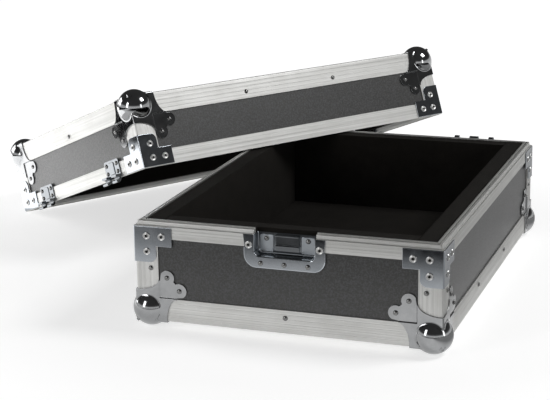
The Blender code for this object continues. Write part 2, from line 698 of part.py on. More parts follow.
def build_base_hinge(name, way, material, parent):
    """Base half of a lift-off hinge: a leaf with three knuckles and the fixed pin that joins them."""
    half = HINGE_WIDTH / 2
    shape = hinge_leaf(-1, half)
    root = PLATE_BACK - SHEET / 2
    barrel = arc((PIN_INSET, 0), KNUCKLE_RADIUS, 0, 270, 9)
    shoulder = -BRACE_SETBACK - GAP
    profile = barrel + [(root, -KNUCKLE_RADIUS), (root, shoulder), (PLATE_FACE - GAP, shoulder)]
    middle = MIDDLE_KNUCKLE / 2
    for start, stop in ((-half, -half + END_KNUCKLE), (-middle, middle), (half - END_KNUCKLE, half)):
        knuckle = bmesh.new()
        add_bar(knuckle, profile, start, stop, False, False)
        shape = boolean(shape, knuckle, "UNION")
    pin = bmesh.new()
    add_rod(pin, (PIN_INSET, 0), PIN_RADIUS, -half - PIN_HEAD, half + PIN_HEAD)
    shape = boolean(shape, pin, "UNION")
    make_object(name, shape, material, parent, hinge_matrix(way, BASE_RIM), math.radians(35))


def build_lid_hinge(name, way, material, parent):
    """Lid half of a lift-off hinge: a leaf with two hooks that go between the knuckles.

    The leaf is as wide as its hooks reach, and their mouths face away from the case.
    """
    axis = (PIN_INSET, -GAP)
    bore = PIN_RADIUS + PIN_PLAY
    mouth = PIN_INSET - HOOK_MOUTH
    root = PLATE_BACK - SHEET / 2
    outer = arc(axis, KNUCKLE_RADIUS, 0, -90, 4)
    inner = arc(axis, bore, -90, 90, 6)
    shoulder = BRACE_SETBACK + GAP
    profile = [
        (mouth, axis[1] + KNUCKLE_RADIUS), (root, axis[1] + KNUCKLE_RADIUS), (root, shoulder),
        (outer[0][0], shoulder), *outer, (mouth, axis[1] - KNUCKLE_RADIUS),
        (mouth, axis[1] - bore), *inner, (mouth, axis[1] + bore),
    ]
    start = MIDDLE_KNUCKLE / 2 + HOOK_KNUCKLE_PLAY
    stop = HINGE_WIDTH / 2 - END_KNUCKLE - HOOK_KNUCKLE_PLAY
    shape = hinge_leaf(1, stop)
    for low, high in ((-stop, -start), (start, stop)):
        hook = bmesh.new()
        add_bar(hook, profile, low, high, False, False)
        shape = boolean(shape, hook, "UNION")
    make_object(name, shape, material, parent, hinge_matrix(way, 0.0), math.radians(35))


def pan_cutter(low, high):
    """Space that the latch's pan takes out of the front foam."""
    face = -CASE_DEPTH / 2
    cut = bmesh.new()
    add_box(cut, (-NOTCH_HALF, face, low), (NOTCH_HALF, face + NOTCH_DEPTH, high))
    return cut


def build_base_foam(material, parent):
    """Wall lining round the mixer's bay, stepped for the lid's lip, and the floor mat laid inside it."""
    low = PLY + GAP
    mat = bmesh.new()
    mat_inset = FOAM_START + FOAM_WALL + GAP
    add_loft(mat, [level_ring(mat_inset, level) for level in (low, FLOOR_FOAM_TOP)])
    make_object("foam_floor", mat, material, parent)

    step = BASE_RIM + FOAM_ABOVE_LEDGE
    high = BASE_RIM + TONGUE_RISE - FOAM_BELOW_TONGUE
    raised = LIP_BACK + FOAM_LIP_PLAY
    rings = ((FOAM_START, low), (FOAM_START, step), (raised, step), (raised, high))
    lining = bmesh.new()
    add_loft(lining, [level_ring(inset, level) for inset, level in rings])
    bay = bmesh.new()
    add_loft(bay, [level_ring(FOAM_START + FOAM_WALL, level) for level in (low - SHEET, high + SHEET)])
    lining = boolean(lining, bay, "DIFFERENCE")
    notch_low = BASE_RIM - KEEPER_PAN_HEIGHT - SHEET - GAP
    lining = boolean(lining, pan_cutter(notch_low, high + SHEET), "DIFFERENCE")
    make_object("foam_walls", lining, material, parent)


def build_lid_foam(material, parent):
    """Lining of the lid: a thick pad under the top, with a thin skirt down the walls."""
    high = LID_HEIGHT - PLY_BACK - GAP
    low = WEB_TOP + GAP
    hollow = FOAM_START + LID_FOAM_WALL
    rings = ((FOAM_START, high), (FOAM_START, low), (hollow, low), (hollow, high - LID_FOAM_TOP))
    lining = bmesh.new()
    add_loft(lining, [level_ring(inset, level) for inset, level in rings])
    cut = pan_cutter(0, LATCH_PAN_HEIGHT + SHEET + GAP)
    make_object("lid_foam_lining", boolean(lining, cut, "DIFFERENCE"), material, parent)


def lid_tilt():
    """Angle at which the lid's near wall rests on the base's tongue while its far edge is on the ground."""
    reach = CASE_WIDTH - LIP_BACK
    climb = BASE_RIM + TONGUE_RISE + GAP - (GROUND + GAP)
    return math.asin(climb / math.hypot(reach, CHANNEL_LIP_RISE)) - math.atan2(CHANNEL_LIP_RISE, reach)


def lid_placement():
    """Frame of the tipping axis, on the braces' outer edge, and the lid's own frame inside it."""
    foot = Matrix.Translation((LID_FOOT_X, LID_FOOT_Y, GROUND + GAP))
    turn = Matrix.Rotation(LID_YAW, 4, "Z") @ Matrix.Rotation(lid_tilt(), 4, "Y")
    brace_edge = Matrix.Translation((-PLATE_FACE, 0, BRACE_SETBACK))
    return foot @ turn @ brace_edge, brace_edge.inverted() @ Matrix.Translation((-CASE_WIDTH / 2, 0, 0))


def build():
    clear_scene()
    aluminium = make_material("brushed_aluminium", (0.62, 0.62, 0.60), 0.35, 1.0)
    laminate = make_material("black_laminate", (0.045, 0.045, 0.043), 0.55, 0.0)
    chrome = make_material("chrome_plate", (0.78, 0.78, 0.78), 0.12, 1.0)
    zinc = make_material("zinc_plate", (0.45, 0.48, 0.50), 0.3, 1.0)
    foam = make_material("black_foam", (0.03, 0.027, 0.024), 0.95, 0.0)
    base = make_empty("base_frame")
    tip_placement, lid_offset = lid_placement()
    lid = make_empty("lid_frame", make_empty("lid_tip_axis", None, tip_placement), lid_offset)

    rim_face = BASE_RIM - EXTRUSION_WALL - GAP
    keeper_notch = BASE_RIM - KEEPER_PAN_HEIGHT - SHEET - GAP
    build_carcass("base_carcass", rim_face, 0.0, keeper_notch, BASE_RIM, laminate, base)
    build_edges("base_edge", BASE_BOTTOM, 1, aluminium, base)
    rim = [(inward, BASE_RIM + up) for inward, up in base_rim_profile()]
    build_bars("base_rim", rim, aluminium, base, "front")
    angle_ends = (BASE_BOTTOM + EDGE_LEG + GAP, BASE_RIM - BASE_RIM_LEG - GAP)
    build_corner_angles("base_corner_angle", *angle_ends, True, aluminium, base)
    build_ball_corners("base_ball_corner", BASE_BOTTOM, False, chrome, base)
    build_braces("base_brace", BASE_RIM, True, zinc, base)
    build_keeper_dish(zinc, base)
    build_base_foam(foam, base)

    rim_face = WEB_TOP + GAP
    latch_notch = LATCH_PAN_HEIGHT + SHEET + GAP
    build_carcass("lid_carcass", rim_face, LID_HEIGHT - PLY_FACE, 0.0, latch_notch, laminate, lid)
    build_edges("lid_edge", LID_HEIGHT, -1, aluminium, lid)
    build_bars("lid_rim", lid_rim_profile(), aluminium, lid, "front")
    angle_ends = (LID_RIM_LEG + GAP, LID_HEIGHT - EDGE_LEG - GAP)
    build_corner_angles("lid_corner_angle", *angle_ends, False, aluminium, lid)
    build_ball_corners("lid_ball_corner", LID_HEIGHT, True, chrome, lid)
    build_braces("lid_brace", 0.0, False, zinc, lid)
    build_latch(chrome, zinc, lid)
    build_lid_foam(foam, lid)

    for label, way in (("right", -1), ("left", 1)):
        build_base_hinge(f"base_hinge_{label}", way, zinc, base)
        build_lid_hinge(f"lid_hinge_{label}", way, zinc, lid)


build()
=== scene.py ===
"""Dressed model of the dj mixer flight case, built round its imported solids.

Metres, +Z up. The base stands at the origin with its latch side to -Y, and the lid leans over
its back left corner. Pieces of the lid are modelled with the lid level and then put in its place.
"""

import json
import math
import random

import bmesh
import bpy
from mathutils import Matrix, Vector

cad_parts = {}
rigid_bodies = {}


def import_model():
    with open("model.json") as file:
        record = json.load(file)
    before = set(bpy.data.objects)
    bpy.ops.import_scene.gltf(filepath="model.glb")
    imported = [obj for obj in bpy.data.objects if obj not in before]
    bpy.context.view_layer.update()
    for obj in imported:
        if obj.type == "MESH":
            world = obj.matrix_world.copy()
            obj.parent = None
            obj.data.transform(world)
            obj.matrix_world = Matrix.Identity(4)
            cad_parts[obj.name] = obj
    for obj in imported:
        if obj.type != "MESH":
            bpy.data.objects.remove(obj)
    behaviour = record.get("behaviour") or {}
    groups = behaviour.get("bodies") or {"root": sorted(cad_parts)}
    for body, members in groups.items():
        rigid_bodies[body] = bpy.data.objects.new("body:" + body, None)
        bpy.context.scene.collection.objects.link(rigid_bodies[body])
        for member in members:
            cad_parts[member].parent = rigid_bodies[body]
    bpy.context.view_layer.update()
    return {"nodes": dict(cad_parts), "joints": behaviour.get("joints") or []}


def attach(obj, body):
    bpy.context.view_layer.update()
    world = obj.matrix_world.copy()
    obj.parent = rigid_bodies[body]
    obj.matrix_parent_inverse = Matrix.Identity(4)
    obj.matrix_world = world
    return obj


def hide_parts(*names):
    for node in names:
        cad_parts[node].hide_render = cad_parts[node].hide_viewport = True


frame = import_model()

MM = 0.001
TOUCH = 0.01 * MM

# Sizes of the case, as in the part's source
CASE_WIDTH = 390 * MM
CASE_DEPTH = 550 * MM
BASE_HEIGHT = 123 * MM
LID_HEIGHT = 104 * MM
GAP = 0.3 * MM
PLY = 6.5 * MM
WALL = 1.5 * MM
SHEET = 1.2 * MM
EDGE_LEG = 30 * MM
BASE_BOTTOM = -(WALL + GAP)
BASE_RIM = BASE_BOTTOM + BASE_HEIGHT
FOOT_DROP = 10 * MM
GROUND = BASE_BOTTOM - FOOT_DROP
PLATE_BACK = -GAP
PLATE_FACE = PLATE_BACK - SHEET

# Closure extrusions
BASE_RIM_LEG = 16 * MM
LID_RIM_LEG = 22 * MM
INNER_WALL = 1.2 * MM
LEDGE = 2.4 * MM
TONGUE_RISE = 6.2 * MM
SHOULDER_RISE = 5 * MM
SHOULDER_SLOPE = 0.6 * MM
SHOULDER_WIDTH = 1.6 * MM
SEAL_WIDTH = 2.7 * MM
SEAL_FLOOR = 2.2 * MM
LIP_RISE = 2.5 * MM
TONGUE_PLAY = 0.8 * MM
CHANNEL_TOP = TONGUE_RISE + TONGUE_PLAY
WEB_TOP = CHANNEL_TOP + INNER_WALL
INNER_FACE = WALL + GAP + PLY + GAP
RIM_BACK = INNER_FACE + INNER_WALL
CHANNEL_PLAY = 0.4 * MM
CHANNEL_BACK = RIM_BACK + CHANNEL_PLAY
LIP_BACK = CHANNEL_BACK + INNER_WALL

# Foam lining
FOAM_START = RIM_BACK + GAP
FOAM_WALL = 24 * MM
FOAM_LOW = PLY + GAP
FOAM_FLOOR = 12 * MM
FOAM_STEP_RISE = 2 * MM
FOAM_BELOW_TONGUE = 0.8 * MM
FOAM_LIP_PLAY = 0.5 * MM
FOAM_STEP = BASE_RIM + FOAM_STEP_RISE
FOAM_TOP = BASE_RIM + TONGUE_RISE - FOAM_BELOW_TONGUE
FOAM_RAISED = LIP_BACK + FOAM_LIP_PLAY
FOAM_EDGE = 0.9 * MM
FOAM_FACET = 9 * MM
FOAM_WANDER = 0.7 * MM
FOAM_WAVE = 30 * MM
LID_FOAM_LOW = WEB_TOP + GAP
LID_FOAM_HIGH = LID_HEIGHT - WALL - GAP - PLY - GAP
LID_FOAM_PAD = 20 * MM
LID_FOAM_WALL = 10 * MM

# Ball corners
BALL_RADIUS = 24 * MM
BALL_CENTRE = 14 * MM
BALL_COLLAR = 2.4 * MM
BALL_SLACK = 0.12 * MM
SEAM_SLACK = 0.3 * MM
LEG_END = 40 * MM
LEG_TIP = 54 * MM
LOBE_ROOT = 53 * MM
LOBE_NEAR = 41 * MM
LOBE_FAR = 57 * MM
LOBE_RADIUS = 9.5 * MM
FOLD_RADIUS = 2 * MM
PRESSED_EDGE = 0.58 * MM

# Braces
BRACE_ARM = 49 * MM
BRACE_ARM_WIDTH = 25 * MM
BRACE_LEG = 46 * MM
BRACE_LEG_WIDTH = 28 * MM
BRACE_ROUND = 9 * MM
BRACE_SETBACK = 1 * MM
BRACE_RIVET_EDGE = 16 * MM
BRACE_RIVET_RIM = 13 * MM
BRACE_RIVET_PITCH = 20 * MM

# Latch
LATCH_WIDTH = 104 * MM
KEEPER_DISH_HEIGHT = 42 * MM
LATCH_DISH_HEIGHT = 70 * MM
DISH_ROUND = 16 * MM
DISH_RIVET_PITCH = 30 * MM
PAN_WIDTH = 76 * MM
PAN_DEPTH = 14 * MM
KEEPER_PAN_HEIGHT = 27 * MM
PAN_ROUND = 6 * MM
PRESS_RADIUS = 1.6 * MM
LATCH_PAN_HEIGHT = 56 * MM
KEEPER_WIDTH = 30 * MM
KEEPER_HEIGHT = 21 * MM
KEEPER_LIP = 1.5 * MM
KEEPER_EDGE = 0.35 * MM
KEEPER_DROP = 2 * MM
KEEPER_PITCH = 13 * MM
PAD_WIDTH = 17 * MM
PAD_RISE = 1.5 * MM
PAD_SHORT = 3 * MM
PAD_ROUND = 1.5 * MM
PAD_EDGE = 0.5 * MM
PAD_RIVET_DROP = 7.3 * MM
HUB_RADIUS = 12 * MM
HUB_HEIGHT = 2.7 * MM
HUB_FACE = 3.7 * MM
HUB_CENTRE = 30 * MM
STUD_RADIUS = 4 * MM
POST_WIDTH = 2 * MM
POST_RISE = 2.4 * MM
POST_LENGTH = 19 * MM
POST_ROUND = 0.6 * MM
HOOK_WIDTH = 26 * MM
HOOK_PLATE = 1.5 * MM
HOOK_FACE = 6.7 * MM
HOOK_TRAVEL = 6 * MM
HOOK_ROUND = 1.2 * MM
HOOK_NOSE_ROUND = 0.5 * MM
WING_AXIS = 2.4 * MM
WING_DEPTH = 2.3 * MM
WING_SPAN = 24 * MM
WING_PLATE = 1.5 * MM
WING_RIM = 2.2 * MM
WING_STEP = 0.4 * MM
WING_SINK = 0.45 * MM
WING_KNUCKLE_RADIUS = 1.1 * MM
WING_KNUCKLE_LENGTH = 17 * MM
WING_KNUCKLE_EDGE = 0.2 * MM
NOTCH_HALF = PAN_WIDTH / 2 + SHEET + GAP
NOTCH_DEPTH = PAN_DEPTH + SHEET + GAP

# Hinges
HINGE_WIDTH = 58 * MM
HINGE_SPACING = 215 * MM
LEAF_HEIGHT = 28 * MM
LEAF_ROUND = 4 * MM
LEAF_EDGE = 0.4 * MM
LEAF_BOSS_WIDTH = 15 * MM
LEAF_BOSS_RISE = 1.1 * MM
LEAF_BOSS_ROUND = 3 * MM
LEAF_BOSS_EDGE = 0.9 * MM
LEAF_RIVET_PITCH = 30 * MM
LEAF_RIVET_ROWS = (10 * MM, 21.5 * MM)
KNUCKLE_RADIUS = 5.8 * MM
PIN_RADIUS = 2.3 * MM
PIN_PLAY = 0.3 * MM
PIN_HEAD = 0.6 * MM
PIN_EDGE = 0.5 * MM
PIN_INSET = PLATE_FACE - GAP - KNUCKLE_RADIUS
END_KNUCKLE = 7 * MM
MIDDLE_KNUCKLE = 13 * MM
HOOK_PLAY = 0.8 * MM
HOOK_MOUTH = 2.5 * MM

# Rivets
DOME_RADIUS = 3.2 * MM
DOME_HEIGHT = 2.1 * MM
DOME_EDGE = 0.25 * MM
DOME_UNDERCUT = 0.45 * MM
POP_RADIUS = 4.7 * MM
POP_HEIGHT = 1.6 * MM
POP_HOLE = 1.8 * MM
POP_UNDERCUT = 0.5 * MM
UNDERCUT_RISE = 0.12 * MM
RIVET_SINK = 0.5 * MM
EDGE_RIVET_INSET = 20 * MM
EDGE_RIVET_PITCH = 160 * MM

# Fine form of the extrusions
NOSE_RADIUS = 2 * MM
GROOVE_WIDTH = 0.8 * MM
GROOVE_DEPTH = 0.16 * MM
EDGE_GROOVES = (6.5 * MM, 12.5 * MM, 18.5 * MM, 24.5 * MM)
BASE_RIM_GROOVES = (4 * MM, 8 * MM, 12 * MM)
LID_RIM_GROOVES = (5 * MM, 11 * MM, 17 * MM)
BURR = 0.25 * MM
SHEET_EDGE = 0.3 * MM
MITRE_SPARE = 40 * MM

SIDES = {"front": 0, "right": 1, "back": 2, "left": 3}
CORNERS = ("front_left", "front_right", "back_right", "back_left")
LEVEL = Matrix.Identity(4)
SWAPPED_FACES = Matrix(((0, 1, 0, 0), (1, 0, 0, 0), (0, 0, 1, 0), (0, 0, 0, 1)))
OUTWARD = Matrix.Rotation(math.radians(90), 4, "X")

chance = random.Random(7)


def lid_matrix():
    """Place of the leaning lid, read from its joints: its middle is at zero on the rim's level."""
    joints = {joint["name"]: joint for joint in frame["joints"]}
    along = Vector(joints["lid_tip"]["axis"]).normalized()
    up = Vector(joints["latch_wing_left_fold"]["axis"]).normalized()
    across = along.cross(up)
    hub = Vector(joints["latch_turn"]["pos_m"])
    middle = hub + along * (CASE_DEPTH / 2 - HUB_FACE) - up * HUB_CENTRE
    turning = Matrix((across, along, up)).transposed().to_4x4()
    return Matrix.Translation(middle) @ turning


LID = lid_matrix()
PLACES = {"base": LEVEL, "lid": LID}


def side_matrix(side):
    """Frame of one side: x along it, y inward from the extrusions' outer face, z up."""
    half = (CASE_DEPTH if side % 2 == 0 else CASE_WIDTH) / 2
    return Matrix.Rotation(side * math.pi / 2, 4, "Z") @ Matrix.Translation((0, -half, 0))


def side_length(side):
    return CASE_WIDTH if side % 2 == 0 else CASE_DEPTH


def corner_matrix(corner, level, downward):
    """Frame of one upright corner: x and y inward, z away from the level, down or up."""
    across = (-1, 1, 1, -1)[corner] * CASE_WIDTH / 2
    along = (-1, -1, 1, 1)[corner] * CASE_DEPTH / 2
    placed = Matrix.Translation((across, along, level)) @ Matrix.Rotation(corner * math.pi / 2, 4, "Z")
    if downward:
        placed = placed @ Matrix(((0, 1, 0, 0), (1, 0, 0, 0), (0, 0, -1, 0), (0, 0, 0, 1)))
    return placed


def arc(centre, radius, start, stop, steps):
    """Points of an arc in degrees, both ends included."""
    turns = (math.radians(start + (stop - start) * step / steps) for step in range(steps + 1))
    return [(centre[0] + radius * math.cos(turn), centre[1] + radius * math.sin(turn)) for turn in turns]


# Modelling by hand: tracing, selecting, rounding and placing


def activate(*pieces):
    """Select just these pieces; the last one is the active one."""
    if bpy.context.object and bpy.context.object.mode == "EDIT":
        bpy.ops.object.mode_set(mode="OBJECT")
    bpy.ops.object.select_all(action="DESELECT")
    for piece in pieces:
        piece.select_set(True)
        bpy.context.view_layer.objects.active = piece


def name_piece(name):
    piece = bpy.context.object
    piece.name = name
    piece.data.name = name
    return piece


def start_mesh(name):
    """An empty mesh in edit mode, ready for tracing."""
    activate()
    bpy.ops.mesh.primitive_plane_add(size=MM, location=(0, 0, 0))
    piece = name_piece(name)
    bpy.ops.object.mode_set(mode="EDIT")
    bpy.ops.mesh.select_all(action="SELECT")
    bpy.ops.mesh.delete(type="VERT")
    return piece


def trace(points, fill=True):
    """Lay out an outline point by point in the mesh being edited, and fill it."""
    bpy.ops.mesh.select_mode(type="VERT")
    bpy.ops.mesh.select_all(action="DESELECT")
    bpy.ops.mesh.primitive_plane_add(size=MM, location=(0, 0, 0))
    bpy.ops.mesh.merge(type="CENTER")
    bpy.ops.transform.translate(value=points[0])
    for here, there in zip(points, points[1:]):
        step = Vector(there) - Vector(here)
        bpy.ops.mesh.extrude_vertices_move(TRANSFORM_OT_translate={"value": step})
    bpy.ops.mesh.select_linked()
    if fill:
        bpy.ops.mesh.edge_face_add()


def draw_out(step):
    """Extrude what is selected, a filled outline, into a closed bar."""
    bpy.ops.mesh.extrude_region_move(TRANSFORM_OT_translate={"value": step})
    bpy.ops.mesh.select_linked()
    bpy.ops.mesh.normals_make_consistent(inside=False)


def pick(piece, kind, test):
    """In edit mode, select the vertices, edges or faces that pass a test."""
    bpy.ops.mesh.select_mode(type=kind)
    bpy.ops.mesh.select_all(action="DESELECT")
    shape = bmesh.from_edit_mesh(piece.data)
    shape.normal_update()
    items = {"VERT": shape.verts, "EDGE": shape.edges, "FACE": shape.faces}[kind]
    for item in items:
        if test(item):
            item.select_set(True)
    shape.select_flush_mode()
    bmesh.update_edit_mesh(piece.data)


def edit(piece):
    """Select just this piece and open it for editing."""
    activate(piece)
    bpy.ops.object.mode_set(mode="EDIT")


def leave_edit():
    bpy.ops.object.mode_set(mode="OBJECT")


def merge_and_face_out():
    """Weld points that coincide, and turn the faces outward."""
    bpy.ops.mesh.select_all(action="SELECT")
    bpy.ops.mesh.remove_doubles(threshold=TOUCH)
    bpy.ops.mesh.normals_make_consistent(inside=False)


def cut_off(place, normal):
    """Saw the whole mesh at a plane and throw away what lies past it."""
    bpy.ops.mesh.select_all(action="SELECT")
    bpy.ops.mesh.bisect(plane_co=place, plane_no=normal, use_fill=True, clear_outer=True)


def modify(piece, kind, **settings):
    """Add a modifier, set it and apply it."""
    activate(piece)
    bpy.ops.object.modifier_add(type=kind)
    modifier = piece.modifiers[-1]
    for key, value in settings.items():
        setattr(modifier, key, value)
    bpy.ops.object.modifier_apply(modifier=modifier.name)


def round_edges(piece, width, segments=2, angle=50):
    """Bevel the edges that turn by more than an angle in degrees."""
    modify(
        piece, "BEVEL", width=width, segments=segments, limit_method="ANGLE",
        angle_limit=math.radians(angle), use_clamp_overlap=True,
    )


def thicken(piece, thickness):
    """Give a folded blank its sheet thickness, on the side away from its normals."""
    modify(piece, "SOLIDIFY", thickness=thickness, offset=-1, use_even_offset=True)


def combine(piece, tool, operation):
    """Join another mesh to a piece, or cut it away, and remove the tool."""
    modify(piece, "BOOLEAN", object=tool, operation=operation, solver="EXACT")
    discard(tool)


def discard(*pieces):
    for piece in pieces:
        mesh = piece.data
        bpy.data.objects.remove(piece, do_unlink=True)
        bpy.data.meshes.remove(mesh)


def settle(piece, matrix):
    """Move a piece to a matrix, with its place in its mesh."""
    activate(piece)
    piece.matrix_world = matrix
    bpy.ops.object.transform_apply(location=True, rotation=True, scale=True)


def copy_of(piece, matrix=LEVEL):
    """A duplicate with its own mesh, put at a matrix."""
    activate(piece)
    bpy.ops.object.duplicate(linked=False)
    twin = bpy.context.object
    settle(twin, matrix)
    return twin


def joined(piece, others):
    """Make one object of a piece and what is fastened to it."""
    activate(*others, piece)
    bpy.ops.object.join()
    return piece


def box_between(name, low, high):
    """A block from one corner to the other."""
    activate()
    bpy.ops.mesh.primitive_cube_add(size=1, location=(0, 0, 0))
    box = name_piece(name)
    box.scale = [top - bottom for bottom, top in zip(low, high)]
    box.location = [(bottom + top) / 2 for bottom, top in zip(low, high)]
    bpy.ops.object.transform_apply(location=True, scale=True)
    return box


def turn_inside_out(piece):
    edit(piece)
    bpy.ops.mesh.select_all(action="SELECT")
    bpy.ops.mesh.flip_normals()
    leave_edit()


def coincide(first, second):
    """Whether two measures count as one."""
    return abs(first - second) < TOUCH


def keep_spots(piece):
    """Note each point's own place on the piece, shifted by chance, for patterns that follow it."""
    mesh = piece.data
    shift = [chance.uniform(-0.5, 0.5) for _ in range(3)]
    spots = mesh.attributes.get("spot") or mesh.attributes.new("spot", "FLOAT_VECTOR", "POINT")
    for vertex, spot in zip(mesh.vertices, spots.data):
        spot.vector = vertex.co + Vector(shift)


def put(piece, matrix, body, slot, *nodes):
    """Put a finished piece at its matrix and hang it on its body."""
    keep_spots(piece)
    settle(piece, matrix)
    bpy.ops.object.shade_smooth_by_angle(angle=math.radians(32))
    modify(piece, "WEIGHTED_NORMAL", keep_sharp=True, weight=100)
    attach(piece, body)
    if nodes:
        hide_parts(*nodes)


def finish_with(piece, *materials):
    """Give a piece these materials in place of those it has."""
    piece.data.materials.clear()
    for material in materials:
        piece.data.materials.append(material)


# Finishes


class Nodes:
    """The node tree of a material or of the world, and a few ways to add to it."""

    def __init__(self, owner):
        owner.use_nodes = True
        self.tree = owner.node_tree

    def add(self, kind, *sources, **settings):
        """A node with its settings, fed by sockets and plain values in the order of its inputs."""
        node = self.tree.nodes.new(kind)
        for key, value in settings.items():
            if key in node.inputs:
                node.inputs[key].default_value = value
            else:
                setattr(node, key, value)
        for source, socket in zip(sources, node.inputs):
            self.feed(source, socket)
        return node

    def feed(self, source, socket):
        """Link a socket to another, or set it to a number or a colour."""
        if isinstance(source, (int, float)):
            socket.default_value = source
        elif isinstance(source, tuple):
            socket.default_value = (*source, 1.0)
        else:
            self.tree.links.new(source, socket)

    def maths(self, operation, *values):
        return self.add("ShaderNodeMath", *values, operation=operation).outputs["Value"]

    def ramp(self, source, *stops):
        """Turn a value into a colour or grey by (position, colour) stops."""
        node = self.add("ShaderNodeValToRGB", source)
        elements = node.color_ramp.elements
        while len(elements) < len(stops):
            elements.new(0.5)
        for element, (position, colour) in zip(elements, stops):
            element.position = position
            element.color = (*colour, 1.0) if isinstance(colour, tuple) else (colour, colour, colour, 1.0)
        return node.outputs["Color"]


class Finish(Nodes):
    """A piece's material under construction, and the pattern coordinates that it starts from."""

    def __init__(self, name, own_spots=True):
        self.material = bpy.data.materials.new(name)
        super().__init__(self.material)
        self.shader = self.tree.nodes["Principled BSDF"]
        if own_spots:
            self.place = self.add("ShaderNodeAttribute", attribute_name="spot").outputs["Vector"]
        else:
            self.place = self.add("ShaderNodeTexCoord").outputs["Object"]

    def set(self, **values):
        for key, value in values.items():
            self.shader.inputs[key.replace("_", " ").title().replace("Ior", "IOR")].default_value = value

    def scaled(self, scale, turn=(0, 0, 0)):
        return self.add("ShaderNodeMapping", self.place, Scale=scale, Rotation=turn).outputs["Vector"]

    def noise(self, scale, detail=3.0, roughness=0.55, turn=(0, 0, 0)):
        """Noise whose scale is in patches per metre, one number or one for each direction."""
        spread = scale if isinstance(scale, tuple) else (scale, scale, scale)
        start = self.scaled(spread, turn)
        node = self.add("ShaderNodeTexNoise", start, Scale=1.0, Detail=detail, Roughness=roughness)
        return node.outputs["Fac"]

    def cells(self, scale):
        """Distance from the middles of small cells."""
        start = self.scaled((scale, scale, scale))
        return self.add("ShaderNodeTexVoronoi", start, Scale=1.0).outputs["Distance"]

    def marks(self, scale, start, full, detail, roughness, turn=(0, 0, 0)):
        """Patches where a noise is high: none below start, and one from full on."""
        return self.ramp(self.noise(scale, detail, roughness, turn), (start, 0.0), (full, 1.0))

    def blend_colours(self, share, low, high):
        """Mix two colours, each a socket or a plain colour, by a socket or a number."""
        node = self.add("ShaderNodeMix", data_type="RGBA")
        for value, socket in ((share, node.inputs[0]), (low, node.inputs[6]), (high, node.inputs[7])):
            self.feed(value, socket)
        return node.outputs[2]

    def span(self, source, low, high, start=0.0, stop=1.0):
        """Stretch a value from one range on to another."""
        return self.add("ShaderNodeMapRange", source, start, stop, low, high).outputs["Result"]

    def stained(self, tone, mask, share, stain, start=0.0, stop=1.0):
        """A tone with a stain over it, by up to a share as the mask goes from start to stop."""
        return self.blend_colours(self.span(mask, 0.0, share, start, stop), tone, stain)

    def sum_of(self, first, second, share):
        """The first value, and a share of the second on top."""
        return self.maths("MULTIPLY_ADD", second, share, first)

    def colour(self, source):
        self.feed(source, self.shader.inputs["Base Color"])

    def roughness(self, source):
        self.feed(source, self.shader.inputs["Roughness"])

    def relief(self, height, depth, strength):
        bump = self.add("ShaderNodeBump", Strength=strength, Distance=depth)
        self.feed(height, bump.inputs["Height"])
        self.feed(bump.outputs["Normal"], self.shader.inputs["Normal"])


def drawn_aluminium(name, drawn_along):
    """Satin extrusion with fine lines along its length, dull patches and a few rub marks."""
    finish = Finish(name)
    fine = tuple(6.0 if axis == drawn_along else 900.0 for axis in range(3))
    broad = tuple(2.0 if axis == drawn_along else 240.0 for axis in range(3))
    lines = finish.noise(fine, detail=2.0)
    streaks = finish.noise(broad, detail=2.0)
    patches = finish.noise(26.0, detail=4.0, roughness=0.6)
    rubs = finish.marks((210.0, 95.0, 140.0), 0.62, 0.72, detail=5.0, roughness=0.7)
    tone = finish.ramp(streaks, (0.3, (0.57, 0.57, 0.555)), (0.7, (0.73, 0.73, 0.715)))
    tone = finish.stained(tone, lines, 0.5, (0.44, 0.44, 0.43), 0.45, 0.75)
    tone = finish.stained(tone, patches, 0.35, (0.53, 0.525, 0.505), 0.4, 0.8)
    finish.colour(finish.stained(tone, rubs, 0.30, (0.80, 0.80, 0.79)))
    rough = finish.sum_of(finish.span(patches, 0.46, 0.54, 0.3, 0.7), lines, 0.06)
    finish.roughness(finish.sum_of(rough, rubs, -0.08))
    finish.relief(finish.sum_of(lines, streaks, 0.5), 0.00006, 0.4)
    finish.set(metallic=1.0)
    return finish.material


def black_laminate():
    """Facing of the plywood: black, with a fine pebble, blue-grey and brown flecks, and scuffs."""
    finish = Finish("black_laminate", own_spots=False)
    pebble = finish.cells(900.0)
    grain = finish.noise(1400.0, detail=2.0)
    patches = finish.noise(14.0, detail=4.0, roughness=0.6)
    flecks = finish.marks(460.0, 0.44, 0.60, detail=3.0, roughness=0.65)
    brown = finish.marks(330.0, 0.56, 0.66, detail=3.0, roughness=0.6, turn=(0.3, 0.2, 0.5))
    scuffs = finish.marks((60.0, 60.0, 420.0), 0.60, 0.70, detail=6.0, roughness=0.75)
    tone = finish.ramp(patches, (0.3, (0.021, 0.021, 0.020)), (0.75, (0.029, 0.029, 0.027)))
    tone = finish.stained(tone, flecks, 0.75, (0.076, 0.078, 0.082))
    tone = finish.stained(tone, brown, 0.5, (0.042, 0.037, 0.029))
    finish.colour(finish.stained(tone, scuffs, 0.22, (0.13, 0.13, 0.13)))
    finish.roughness(finish.sum_of(finish.span(patches, 0.38, 0.48), scuffs, 0.10))
    finish.relief(finish.sum_of(pebble, grain, 0.4), 0.00018, 0.4)
    finish.set(specular_ior_level=0.6, coat_weight=0.32, coat_roughness=0.24)
    return finish.material


